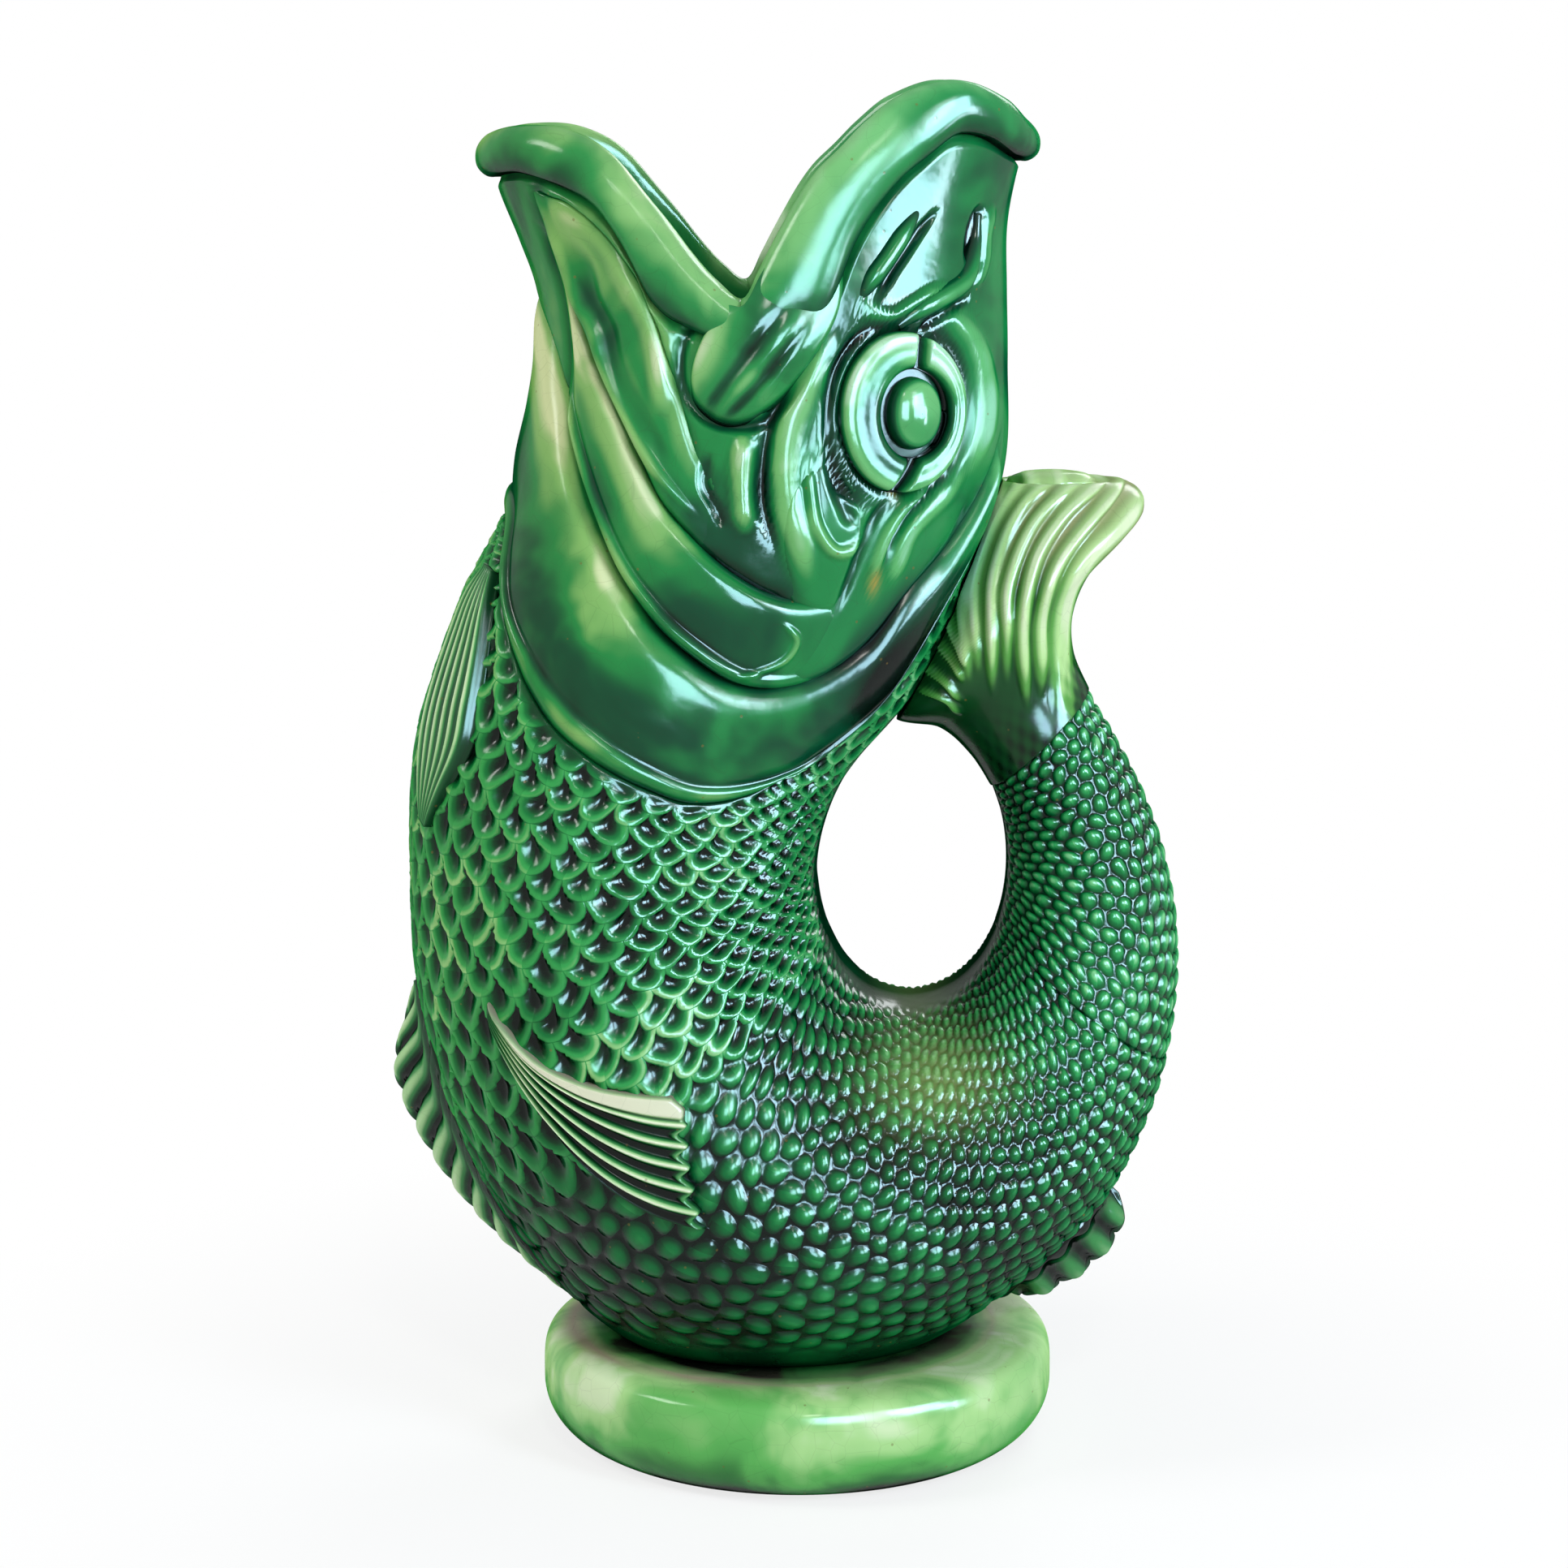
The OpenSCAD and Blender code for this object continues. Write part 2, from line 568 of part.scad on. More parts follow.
module pupil(side) {
    color(glaze_pale) pair(side) dome_solid(
        pupil_x, pupil_z, pupil_w / 2, pupil_tall / 2, 0, pupil_h);
}

function head_route(shares) = [for (q = shares)
    [head_x + head_depth * q[0], loop_z + head_rise * q[1]]];
brow_shares = [[0.245, 0.71], [0.29, 0.722], [0.34, 0.74], [0.38, 0.775], [0.405, 0.82], [0.425, 0.865]];
nostril_shares = [[0.18, 0.742], [0.2, 0.775], [0.235, 0.805], [0.275, 0.825], [0.3, 0.852]];

module brow(side) {
    color(glaze_green) pair(side) fold_solid(head_route(brow_shares));
}

module nostril_fold(side) {
    color(glaze_green) pair(side) fold_solid(head_route(nostril_shares));
}

// Side fin: its upper and lower edges from root to tip, as [ring, turn]
fin_top_shares = [[14.1, 125], [13.6, 115], [13.2, 103], [12.8, 90], [12.4, 78]];
fin_low_shares = [[14, 126], [13.1, 117.5], [12.3, 110], [11.7, 103.5], [11.2, 96]];
fin_ribs = 7;
fin_rows = 8;
rib_steps = 3;
module side_fin(side) {
    color(glaze_pale) pair(side) patch_solid([for (i = [0 : fin_ribs * rib_steps])
        let (v = i / (fin_ribs * rib_steps),
             crest = 0.5 + 0.5 * cos(360 * i / rib_steps))
        [for (k = [0 : fin_rows])
            let (u = k / fin_rows,
                 low = along(fin_low_shares, 4 * u),
                 top = along(fin_top_shares, 4 * u),
                 bow = 2 * u * (1 - u) * v * (1 - v))
            concat(mix(top, low, v) + [bow, 0],
                [side_fin_h * mix(0.45, 1, crest) * mix(0.4, 1, u)])]]);
}

// Throat leaf: its front and rear edges from root to tip, as [ring, turn]
leaf_front_shares = [[18, 160], [17.2, 163], [16.4, 162], [15.9, 158], [15.5, 152]];
leaf_rear_shares = [[18, 153], [17.1, 144], [16.5, 137], [16.1, 136], [15.45, 148]];
leaf_rows = 8;
leaf_columns = 8;
module throat_leaf(side) {
    color(glaze_pale) pair(side) patch_solid([for (i = [0 : leaf_columns])
        let (v = i / leaf_columns)
        [for (k = [0 : leaf_rows])
            let (u = k / leaf_rows)
            concat(mix(along(leaf_rear_shares, 4 * u), along(leaf_front_shares, 4 * u), v),
                [leaf_h * mix(0.5, 1, abs(cos(180 * v))) * mix(0.5, 1, sin(180 * u))])]]);
}

// Comb fin on the middle of the belly or the tail
comb_steps = 4;
comb_notch_share = 0.85;
comb_shares = [[-1, 0.06], [-0.62, 0.24], [-0.22, 0.9], [0, 1], [0.22, 0.9], [0.62, 0.24], [1, 0.06]];
module comb_fin(first, last, ribs, half_turn, h, swell_shares) {
    count = ribs * comb_steps;
    patch_solid([for (i = [0 : count])
        let (u = i / count,
             tooth = mix(comb_notch_share, 1, sin(180 * (i % comb_steps) / comb_steps)),
             swell = glide(u, swell_shares))
        [for (q = comb_shares)
            [mix(first, last, u) + 0.15 * abs(q[0]), 180 - half_turn * q[0],
                h * q[1] * tooth * swell]]]);
}

// Reach of the fins along their length, from their first end
belly_swell_shares = [[0, 0.12], [0.09, 0.5], [0.18, 0.9], [0.27, 1], [0.5, 0.82], [0.8, 0.38], [1, 0.1]];
rear_swell_shares = [[0, 0.62], [0.25, 0.9], [0.6, 1], [0.85, 0.8], [1, 0.3]];

module belly_fin() {
    color(glaze_pale) comb_fin(14, 11.4, 11, 11, belly_fin_h, belly_swell_shares);
}

module rear_fin() {
    color(glaze_dark) comb_fin(8.12, 6.95, 4, 22, rear_fin_h, rear_swell_shares);
}

// The tail fin, from the end of the tail up. Each row: reach of its outer edge behind the
// loop's centre in shares of the fin's depth, its height in shares of the fin's height
// above that centre, the same two for its inner edge, and a share of its width.
fluke_shares = [
    [0.704, 0.53, 0.252, 0.27, 0.65],
    [0.7, 0.63, 0.12, 0.336, 0.74],
    [0.78, 0.74, -0.1, 0.377, 0.86],
    [0.93, 0.83, 0.05, 0.58, 0.92],
    [1, 0.885, 0.21, 0.79, 0.8],
    [0.965, 0.945, 0.31, 0.93, 0.56],
    [0.79, 0.985, 0.4, 0.985, 0.24]];
fluke_top = fluke_h + tail_depth / 2;
fluke_rings = concat([rings[0]], [for (row = fluke_shares) [
    [loop_x + fluke_depth * row[0], loop_z + fluke_top * row[1]],
    [loop_x + fluke_depth * row[2], loop_z + fluke_top * row[3]],
    fluke_w / 2 * row[4]]]);
fluke_ribs = 8;
fluke_columns = 64;
fluke_rows = 14;

// The nape of the head at a height and at a place across it
function nape(y, z, low = neck_ring, high = neck_ring + 6, tries = 12) =
    let (s = (low + high) / 2,
         section = along(rings, s),
         t = asin(min(0.99, abs(y) / section[2])),
         p = on_section(section, t, 0))
    tries == 0 ? p[0] :
    p[2] < z ? nape(y, z, s, high, tries - 1) : nape(y, z, low, s, tries - 1);

module tail_fin() {
    function fluke_point(u, t) =
        let (section = along(fluke_rings, u * (len(fluke_rings) - 1)),
             ripple = fluke_rib * sin(180 * min(1, 1.15 * u)) * cos(2 * fluke_ribs * t),
             p = on_section(section, t, -ripple * abs(sin(t))))
        u == 0 ? p : [max(p[0], nape(p[1], p[2]) + lute_gap), p[1], p[2]];
    color(glaze_pale) ring_solid([for (i = [fluke_rows : -1 : 0])
        [for (j = [0 : fluke_columns - 1]) fluke_point(i / fluke_rows, 360 * j / fluke_columns)]]);
}

foot_ring();
body_shell();
tail_handle();
tail_fin();
head_shell();
lower_lip();
upper_lip();
lip_lobe("left");  // lip_lobe_left
lip_lobe("right");  // lip_lobe_right
gill_collar("left");  // gill_collar_left
gill_collar("right");  // gill_collar_right
gill_cover("left");  // gill_cover_left
gill_cover("right");  // gill_cover_right
jaw_plate("left");  // jaw_plate_left
jaw_plate("right");  // jaw_plate_right
cheek("left");  // cheek_left
cheek("right");  // cheek_right
eye_ring("left");  // eye_ring_left
eye_ring("right");  // eye_ring_right
pupil("left");  // pupil_left
pupil("right");  // pupil_right
brow("left");  // brow_left
brow("right");  // brow_right
nostril_fold("left");  // nostril_fold_left
nostril_fold("right");  // nostril_fold_right
side_fin("left");  // side_fin_left
side_fin("right");  // side_fin_right
throat_leaf("left");  // throat_leaf_left
throat_leaf("right");  // throat_leaf_right
belly_fin();
rear_fin();
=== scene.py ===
import math
import bpy
import numpy as np
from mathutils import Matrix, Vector


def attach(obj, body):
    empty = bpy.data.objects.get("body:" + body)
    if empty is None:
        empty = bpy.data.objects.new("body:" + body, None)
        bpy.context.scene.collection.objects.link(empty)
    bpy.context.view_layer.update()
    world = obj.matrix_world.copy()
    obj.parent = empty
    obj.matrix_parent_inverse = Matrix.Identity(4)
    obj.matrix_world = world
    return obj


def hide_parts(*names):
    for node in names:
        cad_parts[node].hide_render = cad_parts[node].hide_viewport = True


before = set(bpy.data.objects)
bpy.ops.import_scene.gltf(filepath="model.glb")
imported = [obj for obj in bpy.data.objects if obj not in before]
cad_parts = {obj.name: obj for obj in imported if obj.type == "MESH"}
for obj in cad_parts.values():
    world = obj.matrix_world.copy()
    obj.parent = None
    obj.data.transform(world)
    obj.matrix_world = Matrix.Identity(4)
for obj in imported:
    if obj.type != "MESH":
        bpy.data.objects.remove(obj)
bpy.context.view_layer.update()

MM = 0.001

# Sizes of the jug, in metres, the same as in the construction
foot_d = 95.6 * MM
foot_h = 19.6 * MM
foot_nose = 9.8 * MM
foot_bearing_w = 5 * MM
foot_recess = 11.5 * MM
foot_back = 2.1 * MM
loop_w = 34 * MM
loop_h = 51.4 * MM
loop_rise = 88.9 * MM
loop_back = 21.2 * MM
wall = 4.6 * MM
body_depth = 82.6 * MM
body_w = 94 * MM
tail_depth = 30.3 * MM
tail_w = 34 * MM
head_rise = 141.5 * MM
head_depth = 92 * MM
head_w = 76 * MM
head_ahead = 28.5 * MM
lip_out = 2.6 * MM
fluke_h = 58 * MM
fluke_depth = 41.6 * MM
fluke_w = 43 * MM
lute_gap = 0.2 * MM
side_fin_h = 2.6 * MM
leaf_h = 1.8 * MM
belly_fin_h = 8 * MM
rear_fin_h = 8 * MM
fluke_rib = 0.9 * MM
collar_h = 2 * MM
gill_h = 1.9 * MM
jaw_h = 1.7 * MM
cheek_h = 1.8 * MM
lobe_h = 3.4 * MM
eye_h = 1.9 * MM
pupil_h = 2.4 * MM
fold_h = 1.3 * MM
sunk = 2.2 * MM

# Turn of the outline's point, turn of the loop's point, share of the way from the
# tail's depth to the body's, the same for the width, share of the loop's reach, head's pull
sweep_shares = [
    [405, 405, -0.094, -0.117, 1, 0],
    [390, 390, -0.088, -0.083, 1, 0],
    [375, 375, -0.052, -0.05, 1, 0],
    [360, 360, 0, 0, 1, 0],
    [345, 345, 0.069, 0.067, 1, 0],
    [330, 330, 0.157, 0.167, 1, 0],
    [315, 315, 0.27, 0.317, 1, 0],
    [300, 300, 0.398, 0.5, 1, 0],
    [285, 285, 0.512, 0.7, 1, 0],
    [270, 270, 0.688, 0.867, 1, 0],
    [255, 255, 0.861, 0.967, 1, 0],
    [240, 240, 1, 1, 1, 0],
    [225, 225, 0.993, 1, 1, 0],
    [210, 210, 0.95, 0.967, 1, 0],
    [195, 195, 0.856, 0.992, 1, 0.25],
    [180, 180, 0.78, 1.017, 1, 0.5],
    [165, 157.5, 0.758, 1.025, 0.965, 0.75],
    [150, 135, 0.727, 1.033, 0.94, 1]]
# Throat's reach and height, nape's reach and height, share of the head's width
head_shares = [
    [0.543, 0.406, 0.206, 0.136, 1],
    [0.491, 0.47, 0.33, 0.235, 0.987],
    [0.459, 0.534, 0.424, 0.376, 0.974],
    [0.431, 0.597, 0.487, 0.519, 0.96],
    [0.417, 0.661, 0.49, 0.647, 0.934],
    [0.43, 0.739, 0.487, 0.739, 0.908],
    [0.463, 0.802, 0.486, 0.816, 0.882],
    [0.502, 0.866, 0.502, 0.88, 0.868],
    [0.525, 0.929, 0.527, 0.936, 0.855],
    [0.535, 1, 0.545, 1, 0.842]]
# Height of the rim and of the lips' seam, by turn, as shares of the head's rise
rim_shares = [
    [0, 0.94], [18, 0.957], [30, 0.98], [47, 1], [60, 0.979], [67, 0.948], [72, 0.918],
    [77, 0.889], [85, 0.827], [92, 0.774], [97, 0.74], [103, 0.763], [107, 0.79],
    [114, 0.85], [123, 0.911], [135, 0.941], [150, 0.945], [165, 0.937], [180, 0.925]]
seam_shares = [
    [0, 0.895], [20, 0.909], [44, 0.935], [54, 0.9], [60, 0.87], [68, 0.813], [79, 0.712],
    [88, 0.688], [97, 0.682], [109, 0.702], [119, 0.735], [122, 0.79], [126, 0.84],
    [133, 0.866], [148, 0.886], [160, 0.885], [180, 0.876]]
# Front edges of collar, gill cover and jaw plate: turn and ring
collar_edge = [
    [0, 20.9], [14, 20.7], [24, 20], [32, 19.2], [36, 18.4], [44, 17.5], [53, 16.8],
    [69, 16.4], [85, 16.4], [101, 16.5], [118, 16.7], [134, 17.1], [150, 17.9],
    [162, 18.6], [180, 18.9]]
gill_edge = [
    [14, 21.5], [24, 20.9], [34, 20.3], [44, 19.8], [50, 19.3], [62, 18.7], [75, 18.45],
    [90, 18.5], [104, 18.7], [120, 19.2], [140, 20.4], [151, 21.4], [163, 22.3], [180, 23]]
jaw_edge = [
    [50, 19.7], [62, 19.6], [75, 19.5], [88, 19.55], [102, 19.8], [116, 20.3],
    [135, 21.7], [145, 23], [152, 24.6], [172, 25.2]]

jaw_top = [
    [80, 20.8], [90, 20.6], [100, 20.6], [108, 20.9], [116, 22], [121, 23.1],
    [126, 24], [135, 24.7], [145, 24.9], [150, 25.1], [172, 25.4]]
# Section of a lip: share of the way from seam to rim, and share of its reach
# outwards or, below zero, of the wall inwards
lip_shares = [
    [0, 0], [0.1, 0.6], [0.36, 1], [0.68, 0.86], [0.9, 0.35], [1, -0.35],
    [0.93, -0.85], [0.6, -1], [0, -1]]
# Height of each comb fin along its length
belly_swell = [
    [0, 0.12], [0.09, 0.5], [0.18, 0.9], [0.27, 1], [0.5, 0.82], [0.8, 0.38], [1, 0.1]]
rear_swell = [[0, 0.62], [0.25, 0.9], [0.6, 1], [0.85, 0.8], [1, 0.3]]
# Edges of the side fin and the throat leaf, as ring and turn
fin_top = np.array([[14.1, 125], [13.6, 115], [13.2, 103], [12.8, 90], [12.4, 78]])
fin_low = np.array([[14, 126], [13.1, 117.5], [12.3, 110], [11.7, 103.5], [11.2, 96]])
leaf_front = np.array([[18, 160], [17.2, 163], [16.4, 162], [15.9, 158], [15.5, 152]])
leaf_rear = np.array([[18, 153], [17.1, 144], [16.5, 137], [16.1, 136], [15.45, 148]])
# Rear and front edge of the tail fin, across and up, and its width
fluke_shares = [
    [0.704, 0.53, 0.252, 0.27, 0.65],
    [0.7, 0.63, 0.12, 0.336, 0.74],
    [0.78, 0.74, -0.1, 0.377, 0.86],
    [0.93, 0.83, 0.05, 0.58, 0.92],
    [1, 0.885, 0.21, 0.79, 0.8],
    [0.965, 0.945, 0.31, 0.93, 0.56],
    [0.79, 0.985, 0.4, 0.985, 0.24]]

# Ribs of the tail fin: half width, height and route, written as the head's folds are.
# The first is the smooth roll along its rear edge.
fluke_ribs = [
    (3.4, 1.1, [[52.5, 133], [50.6, 138.5], [49.6, 149.1], [50.2, 158.4], [53.4, 166],
                [59.4, 171.3], [64, 176], [67, 180]]),
    (1.9, 1.1, [[46.2, 141], [45.9, 146.7], [45.5, 154.9], [46.6, 161.9], [49.4, 167.7],
                [54.5, 173.5], [60.2, 178.7], [64, 182]]),
    (1.9, 1.1, [[43.4, 139], [42.8, 144.4], [42.1, 153.7], [42.6, 160.7], [44.8, 167.7],
                [49.3, 174.1], [54.4, 178.1], [58.4, 180.4], [62, 182.5]]),
    (1.8, 1.0, [[39.6, 143], [39.2, 153.7], [39.1, 160.7], [41.3, 167.7], [44.7, 173.5],
                [49.8, 178.1], [55.5, 181.5], [59, 184]]),
    (1.8, 1.0, [[36.9, 141], [36.6, 148], [36.3, 156.1], [36.8, 163.1], [39.6, 171.2],
                [43.5, 176.9], [48.7, 180.4], [52.6, 182.1], [56, 184]]),
    (1.7, 1.0, [[34.2, 146], [33.6, 151.4], [33.4, 158.4], [33.9, 163.6], [36.7, 171.2],
                [40.1, 176.9], [44.1, 180.4], [48.1, 182.1], [52, 184]]),
    (1.6, 0.9, [[32.4, 144], [31.8, 150.2], [31.4, 156.7], [32.8, 163.1], [35.6, 171.2],
                [38.6, 178], [41, 183]]),
    (1.1, 0.8, [[32, 147], [30.6, 150.2], [29, 153.7], [28.4, 158]]),
    (1.1, 0.8, [[31.6, 144], [29.5, 147.7], [26.9, 150.2], [25, 151.2]]),
    (1.1, 0.8, [[31.2, 140], [28.5, 143.6], [25.6, 145.5], [23, 146.4]]),
    (1.0, 0.8, [[31.2, 137], [29, 140.2], [25.8, 141.6], [23, 142]])]

# Folds pressed in the head: half width, height or, below zero, depth, and the route
# as [x, z] in the side view, all in millimetres
folds = [
    (3.2, 1.1, [[-42.6, 233.1], [-39.1, 229.3], [-33.5, 225.6], [-29.6, 221.3], [-26.3, 215.4],
                [-23, 209], [-21.3, 203], [-21.6, 197], [-21.9, 191.6]]),
    (2.6, -0.9, [[-42.7, 227.5], [-35.3, 219.5], [-33.1, 212.9], [-30.3, 207.6], [-28.7, 200.5],
                 [-24.2, 191.5], [-19.1, 184.6]]),
    (1.7, 1.1, [[-45.9, 233], [-42.7, 228.1], [-38.9, 219.3], [-35.5, 212.8], [-32.6, 207.4],
                [-30.9, 200.9], [-28.7, 194], [-24.7, 187.1], [-19.7, 180.8], [-15.3, 176]]),
    (2.6, 1.5, [[-7.2, 190.6], [-7.7, 183.7], [-7.6, 178.3], [-7.1, 172.8]]),
    (1.5, -0.8, [[-13.1, 187.5], [-14.2, 182], [-12, 177.7], [-10.3, 173.9]]),
    (4.0, 1.4, [[7.7, 208.1], [3.4, 199.7], [0.5, 192.1], [-0.4, 185.5], [0.1, 178.3], [2, 171],
                [3.4, 163.6]]),
    (1.7, -1.2, [[2.9, 203], [-1.4, 195.9], [-3.6, 187.8], [-4.2, 180.7], [-3.5, 175.9],
                 [-1.6, 170.1]]),
    (2.3, -0.9, [[8, 190.1], [8.2, 183.4], [10.2, 177.5], [11.6, 174.1]]),
    (1.6, 0.8, [[3.4, 188.3], [3.9, 181.6], [4.9, 174.8], [7.8, 170.3], [11.6, 170.5],
                [14.5, 174.4]]),
    (1.5, 1.2, [[27.3, 184.5], [23.4, 180.2], [19.9, 176.6], [17.5, 172.8], [15.6, 168],
                [14.9, 163.6]]),
    (1.0, -1.0, [[30, 187], [26.5, 181.3], [21.9, 176.3], [18.5, 171.3], [17.3, 166]]),
    (2.4, 1.0, [[31.4, 182.2], [26.4, 177.7], [21.5, 173.1], [19.5, 168.3], [18.6, 163.3]]),
    (1.4, -0.9, [[17.4, 178.7], [15.2, 175.3], [13, 170.5], [10.7, 164.3], [8.3, 157.9]]),
    (1.0, 0.7, [[-1, 158.1], [1.6, 154.8], [-0.4, 151.2], [-5.1, 149.2], [-9.2, 148.6]]),
    (1.4, 0.9, [[12, 213.4], [15.1, 210.9], [18, 210.1], [21.4, 212], [25.1, 214], [28.5, 215]]),
    (1.2, -1.1, [[15.4, 212.8], [18.2, 217.4], [21.2, 221.6], [23.5, 224.9], [26, 228]]),
    (1.1, -1.2, [[22.5, 207.2], [25.5, 209.3], [28.9, 210.9], [32.4, 212.9]]),
    (1.3, -1.0, [[34.3, 229], [32.6, 225], [32, 221.4], [32.2, 218.1]]),
    (1.4, 0.8, [[33, 214], [34.6, 219], [35, 224], [36.4, 229]]),
    (1.3, -1.2, [[20.2, 209], [13.2, 207.4], [9, 202.4], [7.3, 195.8], [7.4, 188.1], [9.3, 181.6],
                 [13, 178.2], [16.8, 177.6]]),
    (1.3, -1.1, [[24.2, 208.4], [28.9, 204.2], [31.8, 197.6], [32, 190.3], [30, 184.4],
                 [26.6, 180.2]]),
    (2.6, 0.9, [[26, 212.2], [32.6, 205.4], [35.2, 197], [35, 189.5], [32.6, 183]]),
    (1.5, -1.1, [[-9.6, 215.4], [-14.4, 211.3], [-17.9, 205.2], [-18, 198.8], [-14.9, 193.5],
                 [-10.2, 191.6], [-4.5, 192.2], [0.2, 196.1], [3.6, 201.9], [6, 207.5]])]

loop_x = foot_back + loop_back
loop_z = foot_h + loop_rise
head_x = loop_x - head_ahead


def mix(a, b, share):
    return a + (b - a) * share


def glide(key, table):
    """Smooth curve through a table of key and value, for one key or many."""
    rows = np.array(table, float)
    keys, values = rows[:, 0], rows[:, 1]
    last = len(rows) - 1
    before = np.clip(np.arange(last + 1) - 1, 0, last)
    after = np.clip(np.arange(last + 1) + 1, 0, last)
    slopes = (values[after] - values[before]) / (keys[after] - keys[before])
    key = np.asarray(key, float)
    i = np.clip(np.searchsorted(keys, key, side="right") - 1, 0, last - 1)
    step = keys[i + 1] - keys[i]
    f = np.clip((key - keys[i]) / step, 0, 1)
    a, b = values[i], values[i + 1]
    rise_a, rise_b = slopes[i] * step, slopes[i + 1] * step
    return a + f * (rise_a + f * (3 * (b - a) - 2 * rise_a - rise_b
                                  + f * (rise_a + rise_b - 2 * (b - a))))


def ring_table():
    """Outline's point, loop's point and half width of each section of the fish."""
    rows = []
    for out_turn, in_turn, deep, wide, reach, pull in sweep_shares:
        depth = mix(tail_depth, body_depth, deep) + (head_depth - body_depth) * pull
        width = mix(tail_w, body_w, wide) + (head_w - body_w) * pull
        row = []
        for turn, share, extra in ((out_turn, 1, depth), (in_turn, reach, 0)):
            a = math.radians(turn)
            r = loop_w * loop_h / 2 / math.hypot(loop_h * math.cos(a), loop_w * math.sin(a))
            r = r * share + extra
            row += [loop_x + r * math.cos(a), loop_z + r * math.sin(a)]
        rows.append(row + [width / 2])
    for throat, throat_z, nape, nape_z, wide in head_shares:
        rows.append([
            head_x - head_depth * throat, loop_z + head_rise * throat_z,
            head_x + head_depth * nape, loop_z + head_rise * nape_z, head_w / 2 * wide])
    return np.array(rows)


rings = ring_table()
last_ring = len(rings) - 1
neck_ring = len(sweep_shares) - 1
tail_joint = last_ring * 0.2037
mouth_corner = 180 * 0.5389


def between(p0, p1, p2, p3, f):
    """Point on a smooth curve from p1 to p2, a share f of the way."""
    return (2 * p1 + (p2 - p0) * f + (2 * p0 - 5 * p1 + 4 * p2 - p3) * f * f
            + (3 * p1 - p0 - 3 * p2 + p3) * f * f * f) / 2


def along(rows, s):
    """Smooth curve through rows, at a row number that may lie between rows."""
    last = len(rows) - 1
    i = np.clip(np.floor(s).astype(int), 0, last - 1)
    f = (s - i)[..., None]
    return between(rows[np.maximum(i - 1, 0)], rows[i], rows[i + 1],
                   rows[np.minimum(i + 2, last)], f)


def skin(s, t, depth=0.0):
    """Point of the fish's skin at a ring and a turn, a depth under the surface."""
    s, t, depth = np.broadcast_arrays(np.asarray(s, float), np.asarray(t, float), depth)
    section = along(rings, s)
    middle = (section[..., 0:2] + section[..., 2:4]) / 2
    half = (section[..., 2:4] - section[..., 0:2]) / 2
    size = np.linalg.norm(half, axis=-1)
    a = np.radians(t)
    p = middle + half * ((1 - depth / size) * np.cos(a))[..., None]
    y = -(section[..., 4] - depth) * np.sin(a)
    return np.stack([p[..., 0], y, np.maximum(p[..., 1], foot_h + depth)], axis=-1)


ring_step = 0.02
turn_step = 0.5


def outward(s, t):
    """Outward direction of the skin."""
    s, t = np.broadcast_arrays(np.asarray(s, float), np.asarray(t, float))
    n = np.cross(skin(s + ring_step, t) - skin(s - ring_step, t),
                 skin(s, t + turn_step) - skin(s, t - turn_step))
    return n / np.maximum(np.linalg.norm(n, axis=-1, keepdims=True), 1e-12)


def place(x, z, s=21.0, t=70.0):
    """Ring and turn of the skin's point at a place in the side view."""
    for _ in range(9):
        p = skin(s, t)
        ds = (skin(s + ring_step, t) - p) / ring_step
        dt = (skin(s, t + turn_step) - p) / turn_step
        det = ds[..., 0] * dt[..., 2] - dt[..., 0] * ds[..., 2]
        ex, ez = x - p[..., 0], z - p[..., 2]
        s = np.clip(s + (ex * dt[..., 2] - dt[..., 0] * ez) / det, 1, last_ring - 1)
        t = np.clip(t + (ds[..., 0] * ez - ds[..., 2] * ex) / det, 8, 172)
    return s, t


def drawn_turn(t):
    """Turn folded to one side."""
    return np.abs(np.mod(np.asarray(t, float) + 180, 360) - 180)


def ring_at(z, t):
    """Ring at which the skin reaches a height, along one turn of the head."""
    t = np.asarray(t, float)
    low = np.full(t.shape, neck_ring + 2.0)
    high = np.full(t.shape, float(last_ring))
    for _ in range(24):
        s = (low + high) / 2
        below = skin(s, t)[..., 2] < z
        low, high = np.where(below, s, low), np.where(below, high, s)
    return (low + high) / 2


def soft_turn(t, rounding=7):
    """Turn folded to one side, rounded off where it folds on the middle line."""
    side = np.hypot(drawn_turn(t), rounding)
    return 180 - np.hypot(np.maximum(180 - side, 0), rounding)


def seam_ring(t):
    return ring_at(loop_z + head_rise * glide(soft_turn(t), seam_shares), t)


def rim_ring(t):
    return ring_at(loop_z + head_rise * glide(soft_turn(t), rim_shares), t)


def eased(x, low, high):
    f = np.clip((x - low) / (high - low), 0, 1)
    return f * f * (3 - 2 * f)


def curve(points, steps):
    """Smooth curve through points, with steps between each two."""
    rows = np.array(points, float)
    s = np.linspace(0, len(rows) - 1, (len(rows) - 1) * steps + 1)
    return along(rows, s)


